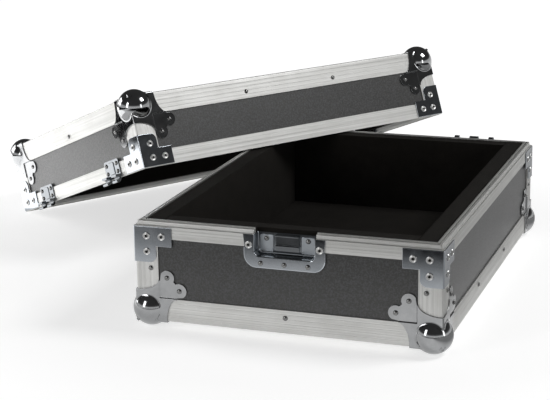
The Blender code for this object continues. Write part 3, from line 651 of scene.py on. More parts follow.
def zinc_plate(name, depth, dulling):
    """Zinc on pressed steel, bluish and cloudy with specks; depth is a share of painted shade that darkens
    it, and dulling makes it duller.
    """
    finish = Finish(name)
    clouds = finish.noise(48.0, detail=4.0, roughness=0.6)
    fine = finish.noise(800.0, detail=3.0)
    specks = finish.marks(520.0, 0.64, 0.72, detail=4.0, roughness=0.75)
    tone = finish.ramp(clouds, (0.3, (0.40, 0.43, 0.46)), (0.7, (0.48, 0.505, 0.535)))
    # Painted shade: the tone is darkened towards dark grey by the depth share
    tone = finish.blend_colours(depth, tone, (0.13, 0.135, 0.14))
    finish.colour(finish.stained(tone, specks, 0.35, (0.26, 0.28, 0.31)))
    rough = finish.sum_of(finish.span(clouds, dulling, dulling + 0.08, 0.3, 0.75), fine, 0.03)
    finish.roughness(finish.sum_of(rough, specks, 0.10))
    finish.relief(finish.sum_of(clouds, fine, 0.04), 0.00015, 0.25)
    finish.set(metallic=1.0)
    return finish.material


def chrome_plate():
    """Mirror plating with faint handling haze and hairline marks."""
    finish = Finish("chrome_plate")
    haze = finish.noise(55.0, detail=4.0, roughness=0.6)
    hair = finish.marks((40.0, 1300.0, 900.0), 0.64, 0.70, detail=3.0, roughness=0.7)
    tone = finish.ramp(haze, (0.3, (0.30, 0.305, 0.31)), (0.7, (0.37, 0.375, 0.38)))
    finish.colour(finish.stained(tone, hair, 0.25, (0.25, 0.25, 0.26)))
    finish.roughness(finish.sum_of(finish.span(haze, 0.06, 0.14, 0.35, 0.75), hair, 0.08))
    finish.relief(haze, 0.00015, 0.2)
    finish.set(metallic=1.0)
    return finish.material


def rivet_metal(name, dark, light, polish):
    """Rivet heads with a fine haze, between two greys, polished to a given roughness."""
    finish = Finish(name)
    haze = finish.noise(600.0, detail=4.0, roughness=0.65)
    finish.colour(finish.ramp(haze, (0.3, (dark, dark, dark)), (0.7, (light, light, light * 0.98))))
    finish.roughness(finish.span(haze, polish, polish + 0.14))
    finish.relief(haze, 0.00006, 0.3)
    finish.set(metallic=1.0)
    return finish.material


def painted_hole_shade():
    """Painted shade for the bottom of a pop rivet's hole: the broken pin left deep in it, near-black and
    dull.
    """
    finish = Finish("painted_hole_shade")
    shade_mottle = finish.noise(900.0, detail=3.0)
    finish.colour(finish.ramp(shade_mottle, (0.3, (0.010, 0.010, 0.010)), (0.7, (0.030, 0.029, 0.027))))
    finish.roughness(finish.span(shade_mottle, 0.6, 0.8))
    finish.set(metallic=0.3)
    return finish.material


def black_foam():
    """Closed-cell foam: fine pores with painted shade in their hollows, slightly dusty."""
    finish = Finish("black_foam", own_spots=False)
    pores = finish.cells(1500.0)
    fine = finish.noise(2600.0, detail=3.0)
    patches = finish.noise(40.0, detail=4.0, roughness=0.6)
    dust = finish.marks(300.0, 0.56, 0.74, detail=6.0, roughness=0.8)
    tone = finish.ramp(patches, (0.3, (0.0130, 0.0118, 0.0103)), (0.75, (0.0190, 0.0171, 0.0150)))
    # Painted shade: the middles of the pores, low in the relief, are darkened
    tone = finish.blend_colours(finish.span(pores, 0.35, 0.0, 0.0, 0.35), tone, (0.004, 0.0035, 0.003))
    finish.colour(finish.stained(tone, dust, 0.22, (0.034, 0.031, 0.028)))
    finish.roughness(finish.span(patches, 0.86, 0.97))
    finish.relief(finish.sum_of(pores, fine, 0.35), 0.0003, 0.8)
    finish.set(sheen_weight=0.015, sheen_roughness=0.6, specular_ior_level=0.06)
    return finish.material


LAMINATE = black_laminate()
ALUMINIUM = drawn_aluminium("drawn_aluminium", 0)
UPRIGHT_ALUMINIUM = drawn_aluminium("upright_aluminium", 2)
# Zinc copies: the plate with a little painted shade, a copy much darker with painted shade for the hinges and
# keeper, and duller pads with none
ZINC = zinc_plate("zinc_plate", 0.04, 0.05)
SHADED_ZINC = zinc_plate("shaded_zinc", 0.71, 0.05)
PAD_STEEL = zinc_plate("pad_steel", 0.0, 0.34)
CHROME = chrome_plate()
RIVET = rivet_metal("rivet_steel", 0.15, 0.27, 0.08)
PALE_RIVET = rivet_metal("rivet_aluminium", 0.46, 0.64, 0.22)
HOLE_SHADE = painted_hole_shade()
FOAM = black_foam()

# Rivets, each shape turned once


def turned_part(name, profile, steps):
    """A rivet, pin or disc: a half outline of (radius, height) spun round its axis."""
    piece = start_mesh(name)
    trace([(radius, 0, height) for radius, height in profile], fill=False)
    bpy.ops.mesh.spin(steps=steps, angle=2 * math.pi, center=(0, 0, 0), axis=(0, 0, 1))
    merge_and_face_out()
    leave_edit()
    finish_with(piece, RIVET)
    return piece


def dome_rivet():
    """Solid head: a domed crown over a low edge, undercut where it meets the plate."""
    crown = DOME_HEIGHT - DOME_EDGE
    turns = [math.radians(18 * step) for step in range(5)]
    dome = [(DOME_RADIUS * math.cos(turn), DOME_EDGE + crown * math.sin(turn)) for turn in turns]
    neck = DOME_RADIUS - DOME_UNDERCUT
    profile = [(0, -RIVET_SINK), (neck, -RIVET_SINK), (neck, UNDERCUT_RISE), *dome, (0, DOME_HEIGHT)]
    return turned_part("dome_rivet", profile, 18)


def pop_rivet():
    """Wide flange round a hole, with the pin left at the bottom of the hole painted dark as shade."""
    rim = POP_RADIUS
    neck = POP_RADIUS - POP_UNDERCUT
    foot = [(0, -RIVET_SINK), (neck, -RIVET_SINK), (neck, UNDERCUT_RISE), (rim - 0.1 * MM, 0.15 * MM)]
    flange = [(rim, 0.45 * MM), (rim - 0.35 * MM, 1.0 * MM), (rim - 0.9 * MM, 1.25 * MM)]
    groove = [(rim - 1.5 * MM, 1.0 * MM), (POP_HOLE + 0.75 * MM, 0.95 * MM)]
    collar = [
        (POP_HOLE + 0.55 * MM, 1.5 * MM), (POP_HOLE + 0.2 * MM, POP_HEIGHT),
        (POP_HOLE, POP_HEIGHT - 0.3 * MM),
    ]
    pin = [(POP_HOLE, 0.35 * MM), (0.5 * MM, 0.45 * MM), (0, 0.5 * MM)]
    piece = turned_part("pop_rivet", foot + flange + groove + collar + pin, 20)
    finish_with(piece, PALE_RIVET, HOLE_SHADE)
    edit(piece)

    def is_in_hole(face):
        centre = face.calc_center_median()
        return centre.z > 0 and centre.xy.length < POP_HOLE + TOUCH

    # The pin's faces in the hole get the painted hole shade
    pick(piece, "FACE", is_in_hole)
    piece.active_material_index = 1
    bpy.ops.object.material_slot_assign()
    leave_edit()
    return piece


DOME = dome_rivet()
POP = pop_rivet()


def rivets_at(master, face, places, level):
    """Copies of a rivet on a plate, standing outward at (along, up) places of a face."""
    return [copy_of(master, face @ Matrix.Translation((along, level, up)) @ OUTWARD) for along, up in places]


# Extrusions


def grooved_leg(length, grooves):
    """One leg's outer face from its tip towards the corner, as (along, depth) with drawn grooves."""
    points = [(length, 0.0)]
    for groove in sorted(grooves, reverse=True):
        points += [
            (groove + GROOVE_WIDTH / 2, 0.0), (groove + GROOVE_WIDTH / 5, GROOVE_DEPTH),
            (groove - GROOVE_WIDTH / 5, GROOVE_DEPTH), (groove - GROOVE_WIDTH / 2, 0.0),
        ]
    return points


def angle_outline():
    """Section of the angle extrusion: grooved legs, a rounded nose and a square inner corner."""
    leg = grooved_leg(EDGE_LEG, EDGE_GROOVES)
    nose = arc((NOSE_RADIUS, NOSE_RADIUS), NOSE_RADIUS, 180, 270, 5)
    inside = [(EDGE_LEG, WALL), (WALL, WALL), (WALL, EDGE_LEG)]
    return [(depth, along) for along, depth in leg] + nose + list(reversed(leg)) + inside


def base_rim_outline():
    """Section of the tongued closure, as (inward, up) from its ledge."""
    shoulder = LEDGE + SHOULDER_SLOPE
    groove = shoulder + SHOULDER_WIDTH
    face = [(depth, -along) for along, depth in grooved_leg(BASE_RIM_LEG, BASE_RIM_GROOVES)]
    return face + [
        (0, 0), (LEDGE, 0), (shoulder, SHOULDER_RISE), (groove, SHOULDER_RISE),
        (groove, SEAL_FLOOR), (groove + SEAL_WIDTH, SEAL_FLOOR), (groove + SEAL_WIDTH, TONGUE_RISE),
        (RIM_BACK, TONGUE_RISE), (RIM_BACK, -BASE_RIM_LEG), (INNER_FACE, -BASE_RIM_LEG),
        (INNER_FACE, -WALL), (WALL, -WALL), (WALL, -BASE_RIM_LEG),
    ]


def lid_rim_outline():
    """Section of the channelled closure, as (inward, up) from its lower edge."""
    ledge = LEDGE - GAP
    face = [(depth, along) for along, depth in grooved_leg(LID_RIM_LEG, LID_RIM_GROOVES)]
    return face + [
        (0, 0), (ledge, 0), (ledge, CHANNEL_TOP), (CHANNEL_BACK, CHANNEL_TOP),
        (CHANNEL_BACK, LIP_RISE), (LIP_BACK, LIP_RISE), (LIP_BACK, WEB_TOP),
        (RIM_BACK, WEB_TOP), (RIM_BACK, LID_RIM_LEG), (INNER_FACE, LID_RIM_LEG),
        (INNER_FACE, WEB_TOP), (WALL, WEB_TOP), (WALL, LID_RIM_LEG),
    ]


def drawn_bar(name, outline, start, stop, start_mitred, stop_mitred):
    """A length of extrusion along x; a mitred end is sawn at 45 degrees."""
    first = start - (MITRE_SPARE if start_mitred else 0)
    last = stop + (MITRE_SPARE if stop_mitred else 0)
    piece = start_mesh(name)
    trace([(first, inward, up) for inward, up in outline])
    draw_out((last - first, 0, 0))
    back = GAP / math.sqrt(2)
    if start_mitred:
        cut_off((start + back, 0, 0), (-1, 1, 0))
    if stop_mitred:
        cut_off((stop - back, 0, 0), (1, 1, 0))
    leave_edit()
    round_edges(piece, BURR, segments=1, angle=70)
    return piece


def edge_bars(half, level, way):
    """Angle extrusions round the bottom or the top, each with its rivets."""
    outline = [(inward, level + way * up) for inward, up in angle_outline()]
    for label, side in SIDES.items():
        end = side_length(side) / 2
        bar = drawn_bar(f"{half}_edge_bar_{label}", outline, -end, end, True, True)
        finish_with(bar, ALUMINIUM)
        spots = (0,) if side % 2 == 0 else (-EDGE_RIVET_PITCH / 2, EDGE_RIVET_PITCH / 2)
        joined(bar, rivets_at(DOME, LEVEL, [(spot, level + way * EDGE_RIVET_INSET) for spot in spots], 0))
        put(bar, PLACES[half] @ side_matrix(side), half, "aluminium", f"{half}_edge_{label}")


def rim_bars(half, outline, level):
    """Closure extrusions: one for each side, and two beside the latch's dish."""
    outline = [(inward, level + up) for inward, up in outline]
    for label, side in SIDES.items():
        end = side_length(side) / 2
        runs = [(label, -end, end, True, True)]
        if label == "front":
            runs = [
                ("front_left", -end, -NOTCH_HALF, True, False),
                ("front_right", NOTCH_HALF, end, False, True),
            ]
        for name, start, stop, start_mitred, stop_mitred in runs:
            bar = drawn_bar(f"{half}_closure_{name}", outline, start, stop, start_mitred, stop_mitred)
            finish_with(bar, ALUMINIUM)
            put(bar, PLACES[half] @ side_matrix(side), half, "aluminium", f"{half}_rim_{name}")


def upright_angles(half, low, high, riveted):
    """The upright angle extrusions at the four corners."""
    master = start_mesh("upright_angle")
    trace([(x, y, low) for x, y in angle_outline()])
    draw_out((0, 0, high - low))
    leave_edit()
    round_edges(master, BURR, segments=1, angle=70)
    finish_with(master, UPRIGHT_ALUMINIUM)
    if riveted:
        for face in (LEVEL, SWAPPED_FACES):
            heads = rivets_at(DOME, face, [(EDGE_RIVET_INSET, (low + high) / 2)], 0)
            for head in heads:
                # The swapped face mirrors its rivet, so it is turned the right way out
                edit(head)
                merge_and_face_out()
                leave_edit()
            joined(master, heads)
    for corner, label in enumerate(CORNERS):
        angle = copy_of(master)
        angle.name = f"{half}_upright_{label}"
        place = PLACES[half] @ corner_matrix(corner, 0, False)
        put(angle, place, half, "aluminium", f"{half}_corner_angle_{label}")
    discard(master)


edge_bars("base", BASE_BOTTOM, 1)
edge_bars("lid", LID_HEIGHT, -1)
rim_bars("base", base_rim_outline(), BASE_RIM)
rim_bars("lid", lid_rim_outline(), 0)
upright_angles("base", BASE_BOTTOM + EDGE_LEG + GAP, BASE_RIM - BASE_RIM_LEG - GAP, True)
upright_angles("lid", LID_RIM_LEG + GAP, LID_HEIGHT - EDGE_LEG - GAP, False)


# Ball corners


def cycled(turn):
    """Matrix that moves the face where z is zero on to the next faces in turn."""
    rows = [[1.0 if (axis - turn) % 3 == source else 0.0 for source in range(3)] for axis in range(3)]
    return Matrix(rows).to_4x4()


def on_fold(value):
    """Move an outline's zero line on to the plate's face, where it meets the next face's plate."""
    return PLATE_FACE if value == 0 else value


def is_inside_out(piece):
    """Whether a folded blank faces the case instead of the room."""
    return sum(face.normal.dot(face.center) * face.area for face in piece.data.polygons) < 0


def is_fold(edge):
    """Whether an edge lies on a line where two faces of a corner piece meet."""
    first, second = (vertex.co for vertex in edge.verts)
    return sum(coincide(a, PLATE_FACE) and coincide(b, PLATE_FACE) for a, b in zip(first, second)) == 2


def fold_and_thicken(piece):
    """Round the folds of a blank, give it its sheet thickness and break its edges."""
    edit(piece)
    merge_and_face_out()
    pick(piece, "EDGE", is_fold)
    bpy.ops.mesh.bevel(offset=FOLD_RADIUS, segments=4, affect="EDGES")
    leave_edit()
    if is_inside_out(piece):
        turn_inside_out(piece)
    thicken(piece, SHEET)
    round_edges(piece, PRESSED_EDGE, segments=3)


def hollow_ball():
    """The ball that stands out over the case's corner, cut away where the case is."""
    activate()
    bpy.ops.mesh.primitive_uv_sphere_add(
        segments=64, ring_count=32, radius=BALL_RADIUS, location=(BALL_CENTRE, BALL_CENTRE, BALL_CENTRE)
    )
    ball = name_piece("ball")
    bpy.ops.object.transform_apply(location=True)
    reach = BALL_CENTRE + BALL_RADIUS + 2 * GAP
    activate()
    bpy.ops.mesh.primitive_cube_add(size=reach, location=[reach / 2 - GAP] * 3)
    bpy.ops.object.transform_apply(location=True)
    combine(ball, bpy.context.object, "DIFFERENCE")
    return ball


def corner_blank():
    """One face of the ball corner: its leg, and its two lobes stepped down to the panel."""
    inner = EDGE_LEG + GAP
    width = EDGE_LEG - GAP
    lag = LEG_TIP - LEG_END
    bends = [math.radians(step * 90 / 8) for step in range(9)]
    flare = [(LEG_END + lag * (1 - math.cos(bend)), width * math.sin(bend)) for bend in bends]
    leg = [(0, 0)] + flare + [(LOBE_ROOT, inner), (inner, inner), (inner, LOBE_ROOT)]
    leg += [(y, x) for x, y in reversed(flare)]
    blank = start_mesh("ball_corner")
    trace([(on_fold(x), on_fold(y), PLATE_FACE) for x, y in leg])

    skirt = inner + SHEET
    round_end = arc((LOBE_FAR, LOBE_NEAR), LOBE_RADIUS, -88, 118, 14)
    low = [point for point in round_end if point[1] > skirt + MM / 2]
    high = [(y, x) for x, y in reversed(low)]
    lobes = [(skirt, skirt), (LOBE_ROOT, skirt)] + low + high + [(skirt, LOBE_ROOT)]
    trace([(x, y, 0) for x, y in lobes])

    def on_step(edge):
        for reach, level in ((inner, PLATE_FACE), (skirt, 0)):
            if all(
                coincide(end.co.z, level) and coincide(min(end.co.x, end.co.y), reach)
                and max(end.co.x, end.co.y) < LOBE_ROOT + TOUCH
                for end in edge.verts
            ):
                return True
        return False

    pick(blank, "EDGE", on_step)
    bpy.ops.mesh.bridge_edge_loops()
    leave_edit()
    return blank


def ball_corner():
    """Pressed corner: three folded legs, stepped lobes, six rivets and the ball."""
    piece = corner_blank()
    joined(piece, [copy_of(piece, cycled(turn)) for turn in (1, 2)])
    fold_and_thicken(piece)
    combine(piece, hollow_ball(), "UNION")

    centre = Vector((BALL_CENTRE, BALL_CENTRE, BALL_CENTRE))

    def is_of_ball(face):
        away = face.calc_center_median() - centre
        return abs(away.length - BALL_RADIUS) < BALL_SLACK and abs(face.normal.dot(away.normalized())) > 0.995

    def round_the_ball(edge):
        sides = {is_of_ball(face) for face in edge.link_faces}
        outside = max(min(vertex.co) for vertex in edge.verts) <= PLATE_FACE + SEAM_SLACK
        return outside and len(edge.link_faces) == 2 and len(sides) == 2

    edit(piece)
    merge_and_face_out()
    pick(piece, "EDGE", round_the_ball)
    bpy.ops.mesh.bevel(offset=BALL_COLLAR, segments=4, affect="EDGES")
    leave_edit()
    finish_with(piece, CHROME)
    heads = []
    for turn in range(3):
        face = cycled(turn) @ OUTWARD
        heads += rivets_at(DOME, face, ((LOBE_NEAR, -LOBE_FAR), (LOBE_FAR, -LOBE_NEAR)), 0)
    return joined(piece, heads)


def brace():
    """Corner brace: an arm and a leg on each face, folded round the corner."""
    bend = (BRACE_LEG_WIDTH - BRACE_ROUND, BRACE_LEG - BRACE_ROUND)
    outline = [
        (0, 0), (BRACE_ARM, 0), (BRACE_ARM, BRACE_ARM_WIDTH), (BRACE_LEG_WIDTH, BRACE_ARM_WIDTH),
        *arc(bend, BRACE_ROUND, 0, 90, 6), (0, BRACE_LEG),
    ]
    piece = start_mesh("brace")
    trace([(on_fold(x), PLATE_FACE, y + BRACE_SETBACK) for x, y in outline])
    trace([(PLATE_FACE, on_fold(x), y + BRACE_SETBACK) for x, y in outline])
    fold_and_thicken(piece)
    finish_with(piece, ZINC)
    further = BRACE_RIVET_EDGE + BRACE_RIVET_PITCH
    lower = BRACE_RIVET_RIM + BRACE_RIVET_PITCH
    places = ((BRACE_RIVET_EDGE, BRACE_RIVET_RIM), (further, BRACE_RIVET_RIM), (BRACE_RIVET_EDGE, lower))
    heads = rivets_at(POP, LEVEL, places, PLATE_FACE)
    other_face = Matrix.Rotation(math.radians(-90), 4, "Z")
    turned_round = [(-along, up) for along, up in places]
    heads += rivets_at(POP, other_face, turned_round, PLATE_FACE)
    return joined(piece, heads)


def fit_corners(master, label, half, node, slot, level, downward):
    """Copies of a corner piece at the four corners of one level."""
    for corner, name in enumerate(CORNERS):
        twin = copy_of(master)
        twin.name = f"{half}_{label}_{name}"
        place = PLACES[half] @ corner_matrix(corner, level, downward)
        put(twin, place, half, slot, f"{half}_{node}_{name}")


BALL = ball_corner()
fit_corners(BALL, "ball", "base", "ball_corner", "chrome_plate", BASE_BOTTOM, False)
fit_corners(BALL, "ball", "lid", "ball_corner", "chrome_plate", LID_HEIGHT, True)
BRACE = brace()
fit_corners(BRACE, "corner_brace", "base", "brace", "zinc_plate", BASE_RIM, True)
fit_corners(BRACE, "corner_brace", "lid", "brace", "zinc_plate", 0, False)
discard(BALL, BRACE)


# Recessed latch


def rounded_outline(low, high, radius, steps=4):
    """Outline of a rectangle with rounded corners, as (along, up)."""
    (left, bottom), (right, top) = low, high
    return (
        arc((right - radius, bottom + radius), radius, -90, 0, steps)
        + arc((right - radius, top - radius), radius, 0, 90, steps)
        + arc((left + radius, top - radius), radius, 90, 180, steps)
        + arc((left + radius, bottom + radius), radius, 180, 270, steps)
    )


def plate(name, outline, near, far, rounding=SHEET_EDGE):
    """A flat plate facing outward: an outline of (along, up) drawn inward from near to far."""
    piece = start_mesh(name)
    trace([(along, near, up) for along, up in outline])
    draw_out((0, far - near, 0))
    leave_edit()
    round_edges(piece, rounding)
    return piece


def pressed_dish(name, height, pan_height, rim_leg, way):
    """Dish pressed from one sheet: a surround with turned-in edges and a pan open at the rim."""
    half = LATCH_WIDTH / 2
    pan = PAN_WIDTH / 2
    below = rim_leg + GAP
    right = [(half, 0), (half, below)] + arc((half - DISH_ROUND, height - DISH_ROUND), DISH_ROUND, 0, 90, 8)
    bend = arc((pan - PAN_ROUND, pan_height - PAN_ROUND), PAN_ROUND, 90, 0, 6)
    mouth = [(-pan, 0)] + [(-x, up) for x, up in reversed(bend)] + bend + [(pan, 0)]
    outline = right + [(-x, up) for x, up in reversed(right)] + mouth
    dish = start_mesh(name)
    trace([(x, PLATE_FACE, way * up) for x, up in outline])

    def is_pan_edge(edge):
        ends = [vertex.co for vertex in edge.verts]
        inside = all(abs(end.x) < pan + TOUCH and way * end.z < pan_height + TOUCH for end in ends)
        return inside and max(way * end.z for end in ends) > TOUCH

    def is_rim_of_surround(edge):
        ends = [vertex.co for vertex in edge.verts]
        on_face = all(coincide(end.y, PLATE_FACE) and way * end.z > below - TOUCH for end in ends)
        return on_face and len(edge.link_faces) == 1

    def is_bend(edge):
        return len(edge.link_faces) == 2 and edge.calc_face_angle() > math.radians(50)

    pick(dish, "EDGE", is_pan_edge)
    bpy.ops.mesh.extrude_edges_move(TRANSFORM_OT_translate={"value": (0, PAN_DEPTH - PLATE_FACE, 0)})
    bpy.ops.mesh.edge_face_add()
    pick(dish, "EDGE", is_rim_of_surround)
    bpy.ops.mesh.extrude_edges_move(TRANSFORM_OT_translate={"value": (0, WALL - PLATE_FACE, 0)})
    bpy.ops.mesh.select_all(action="SELECT")
    bpy.ops.mesh.normals_make_consistent(inside=False)
    pick(dish, "EDGE", is_bend)
    bpy.ops.mesh.bevel(offset=PRESS_RADIUS, segments=4, affect="EDGES")
    leave_edit()
    front = max(dish.data.polygons, key=lambda face: face.area)
    if front.normal.y > 0:
        turn_inside_out(dish)
    thicken(dish, SHEET)
    round_edges(dish, BURR, segments=1, angle=70)
    finish_with(dish, ZINC)
    beside = (LATCH_WIDTH + PAN_WIDTH) / 4
    heads = rivets_at(POP, LEVEL, [(side * beside, way * BRACE_RIVET_RIM) for side in (-1, 1)], PLATE_FACE)
    beyond = way * (height + pan_height + SHEET) / 2
    spots = [(along, beyond) for along in (-DISH_RIVET_PITCH, 0, DISH_RIVET_PITCH)]
    return joined(dish, heads + rivets_at(DOME, LEVEL, spots, PLATE_FACE))


def keeper_dish():
    """The base's dish, with a raised and riveted pad on each side of the keeper."""
    dish = pressed_dish("keeper_dish", KEEPER_DISH_HEIGHT, KEEPER_PAN_HEIGHT, BASE_RIM_LEG, -1)
    middle = (KEEPER_WIDTH / 2 + PAN_WIDTH / 2) / 2
    face = PAN_DEPTH - PAD_RISE
    fastened = rivets_at(DOME, LEVEL, [(side * middle, -PAD_RIVET_DROP) for side in (-1, 1)], face)
    for side in (-1, 1):
        low = (side * middle - PAD_WIDTH / 2, -KEEPER_PAN_HEIGHT + PAD_SHORT)
        high = (side * middle + PAD_WIDTH / 2, -PAD_SHORT)
        pad = plate("pad", rounded_outline(low, high, PAD_ROUND), face, PAN_DEPTH + SHEET / 2, PAD_EDGE)
        finish_with(pad, PAD_STEEL)
        fastened.append(pad)
    return joined(dish, fastened)


def keeper():
    """Steel strip with two folded lips that the hook catches."""
    back = PAN_DEPTH - GAP
    face = back - SHEET
    tip = HOOK_FACE + HOOK_PLATE + 2 * GAP
    first = -KEEPER_DROP
    second = first - KEEPER_PITCH
    end = first - KEEPER_HEIGHT
    profile = [
        (back, first), (tip, first), (tip, first - KEEPER_LIP), (face, first - KEEPER_LIP),
        (face, second), (tip, second), (tip, second - KEEPER_LIP), (face, second - KEEPER_LIP),
        (face, end), (back, end),
    ]
    piece = start_mesh("keeper")
    trace([(-KEEPER_WIDTH / 2, inward, up) for inward, up in profile])
    draw_out((KEEPER_WIDTH, 0, 0))
    leave_edit()
    round_edges(piece, KEEPER_EDGE)
    finish_with(piece, SHADED_ZINC)
    return piece


def latch_hub():
    """Turning disc with its stud behind and the upright post that carries the wings."""
    back = PAN_DEPTH - GAP - HUB_FACE
    rim = HUB_RADIUS
    hub = turned_part(
        "hub",
        [
            (0, -back), (STUD_RADIUS, -back), (STUD_RADIUS, -HUB_HEIGHT), (rim - 0.4 * MM, -HUB_HEIGHT),
            (rim, -HUB_HEIGHT + 0.4 * MM), (rim, -0.5 * MM), (rim - 0.5 * MM, 0), (rim - 1.6 * MM, 0),
            (rim - 1.9 * MM, -0.35 * MM), (rim - 2.4 * MM, -0.35 * MM), (rim - 2.7 * MM, 0), (0, 0),
        ],
        48,
    )
    settle(hub, OUTWARD)
    half = POST_WIDTH / 2
    outline = rounded_outline((-half, -POST_LENGTH / 2), (half, POST_LENGTH / 2), POST_ROUND, 2)
    combine(hub, plate("post", outline, -POST_RISE, HUB_HEIGHT / 2, BURR), "UNION")
    finish_with(hub, CHROME)
    return hub


def latch_hook():
    """Flat hook behind the hub, slotted for its stud and turned in at the nose."""
    half = HOOK_WIDTH / 2
    nose = -(KEEPER_DROP + KEEPER_LIP + 2 * GAP)
    top = HUB_CENTRE + HUB_RADIUS
    outline = rounded_outline((-half, nose - KEEPER_LIP), (half, top), HOOK_ROUND, 3)
    hook = plate("hook", outline, HOOK_FACE, HOOK_FACE + HOOK_PLATE)
    lip = rounded_outline((-half, nose - KEEPER_LIP), (half, nose), HOOK_NOSE_ROUND, 2)
    turned_in = plate("hook_nose", lip, HOOK_FACE + HOOK_PLATE / 2, PAN_DEPTH - 2 * GAP - SHEET, BURR)
    combine(hook, turned_in, "UNION")
    reach = STUD_RADIUS + GAP
    slot_top = HUB_CENTRE + reach + HOOK_TRAVEL
    slot = rounded_outline((-reach, HUB_CENTRE - reach), (reach, slot_top), reach - GAP, 8)
    combine(hook, plate("slot", slot, HOOK_FACE - SHEET, HOOK_FACE + HOOK_PLATE + SHEET), "DIFFERENCE")
    finish_with(hook, ZINC)
    return hook


def latch_wing(way):
    """Fold-out finger wing: a half-round plate with a sunk panel, on its knuckle."""
    reach = WING_SPAN - WING_AXIS
    rounded = arc((reach - HUB_RADIUS, 0), HUB_RADIUS, -90, 90, 14)
    outline = [(0, -HUB_RADIUS)] + rounded + [(0, HUB_RADIUS)]
    wing = start_mesh("wing")
    trace([(way * x, -WING_PLATE / 2, up) for x, up in outline])
    draw_out((0, WING_PLATE, 0))
    pick(wing, "FACE", lambda face: face.normal.y < -0.9)
    bpy.ops.mesh.inset(thickness=WING_RIM)
    bpy.ops.mesh.inset(thickness=WING_STEP)
    bpy.ops.transform.translate(value=(0, WING_SINK, 0))
    leave_edit()
    round_edges(wing, BURR, angle=60)
    activate()
    bpy.ops.mesh.primitive_cylinder_add(
        vertices=20, radius=WING_KNUCKLE_RADIUS, depth=WING_KNUCKLE_LENGTH, location=(0, 0, 0)
    )
    knuckle = name_piece("wing_knuckle")
    round_edges(knuckle, WING_KNUCKLE_EDGE)
    combine(wing, knuckle, "UNION")
    finish_with(wing, CHROME)
    return wing


FRONT = side_matrix(SIDES["front"])
HUB_PLACE = LID @ FRONT @ Matrix.Translation((0, HUB_FACE, HUB_CENTRE))
KEEPER_PLACE = FRONT @ Matrix.Translation((0, 0, BASE_RIM))
put(keeper_dish(), KEEPER_PLACE, "base", "zinc_plate", "latch_keeper_dish")
put(keeper(), KEEPER_PLACE, "base", "zinc_plate", "latch_keeper")
latch_dish = pressed_dish("latch_surround", LATCH_DISH_HEIGHT, LATCH_PAN_HEIGHT, LID_RIM_LEG, 1)
put(latch_dish, LID @ FRONT, "lid", "zinc_plate", "latch_dish")
put(latch_hub(), HUB_PLACE, "latch_hub", "chrome_plate", "latch_hub")
put(latch_hook(), LID @ FRONT, "latch_hook", "zinc_plate", "latch_hook")
for label, way in (("left", -1), ("right", 1)):
    finger_wing = latch_wing(way)
    finger_wing.name = f"finger_wing_{label}"
    wing_place = HUB_PLACE @ Matrix.Translation((way * WING_AXIS, WING_DEPTH - HUB_FACE, 0))
    put(finger_wing, wing_place, f"latch_wing_{label}", "chrome_plate", f"latch_wing_{label}")


# Lift-off hinges


def hinge_leaf(name, way, half):
    """Leaf with rounded corners and a raised boss, and the four rivets that will be joined to it."""
    low, high = sorted((way * BRACE_SETBACK, way * LEAF_HEIGHT))
    leaf_outline = rounded_outline((-half, low), (half, high), LEAF_ROUND)
    leaf = plate(name, leaf_outline, PLATE_FACE, PLATE_BACK, LEAF_EDGE)
    finish_with(leaf, SHADED_ZINC)
    edge = LEAF_BOSS_WIDTH / 2
    low, high = sorted((way * (KNUCKLE_RADIUS + SHEET), way * (LEAF_HEIGHT - LEAF_BOSS_ROUND)))
    boss_outline = rounded_outline((-edge, low), (edge, high), LEAF_BOSS_ROUND, 6)
    boss_face = PLATE_FACE - LEAF_BOSS_RISE
    boss = plate("boss", boss_outline, boss_face, PLATE_BACK - SHEET / 2, LEAF_BOSS_EDGE)
    combine(leaf, boss, "UNION")
    spots = [(side * LEAF_RIVET_PITCH / 2, way * row) for side in (-1, 1) for row in LEAF_RIVET_ROWS]
    return leaf, rivets_at(DOME, LEVEL, spots, PLATE_FACE)


def knuckle(name, profile, start, stop):
    """A length of a hinge's knuckle or hook along its pin."""
    piece = start_mesh(name)
    trace([(start, inward, up) for inward, up in profile])
    draw_out((stop - start, 0, 0))
    leave_edit()
    round_edges(piece, BURR, angle=60)
    finish_with(piece, SHADED_ZINC)
    return piece


def base_hinge():
    """Leaf with three knuckles and the fixed pin through them."""
    half = HINGE_WIDTH / 2
    leaf, fastened = hinge_leaf("base_hinge", -1, half)
    root = PLATE_BACK - SHEET / 2
    shoulder = -BRACE_SETBACK - GAP
    profile = arc((PIN_INSET, 0), KNUCKLE_RADIUS, 0, 270, 21)
    profile += [(root, -KNUCKLE_RADIUS), (root, shoulder), (PLATE_FACE - GAP, shoulder)]
    middle = MIDDLE_KNUCKLE / 2
    for start, stop in ((-half, -half + END_KNUCKLE), (-middle, middle), (half - END_KNUCKLE, half)):
        combine(leaf, knuckle("base_knuckle", profile, start, stop), "UNION")
    reach = half + PIN_HEAD
    pin = turned_part(
        "hinge_pin",
        [
            (0, -reach), (PIN_RADIUS - PIN_EDGE, -reach), (PIN_RADIUS, -reach + PIN_EDGE),
            (PIN_RADIUS, reach - PIN_EDGE), (PIN_RADIUS - PIN_EDGE, reach), (0, reach),
        ],
        24,
    )
    settle(pin, Matrix.Translation((0, PIN_INSET, 0)) @ Matrix.Rotation(math.radians(90), 4, "Y"))
    return joined(leaf, fastened + [pin])


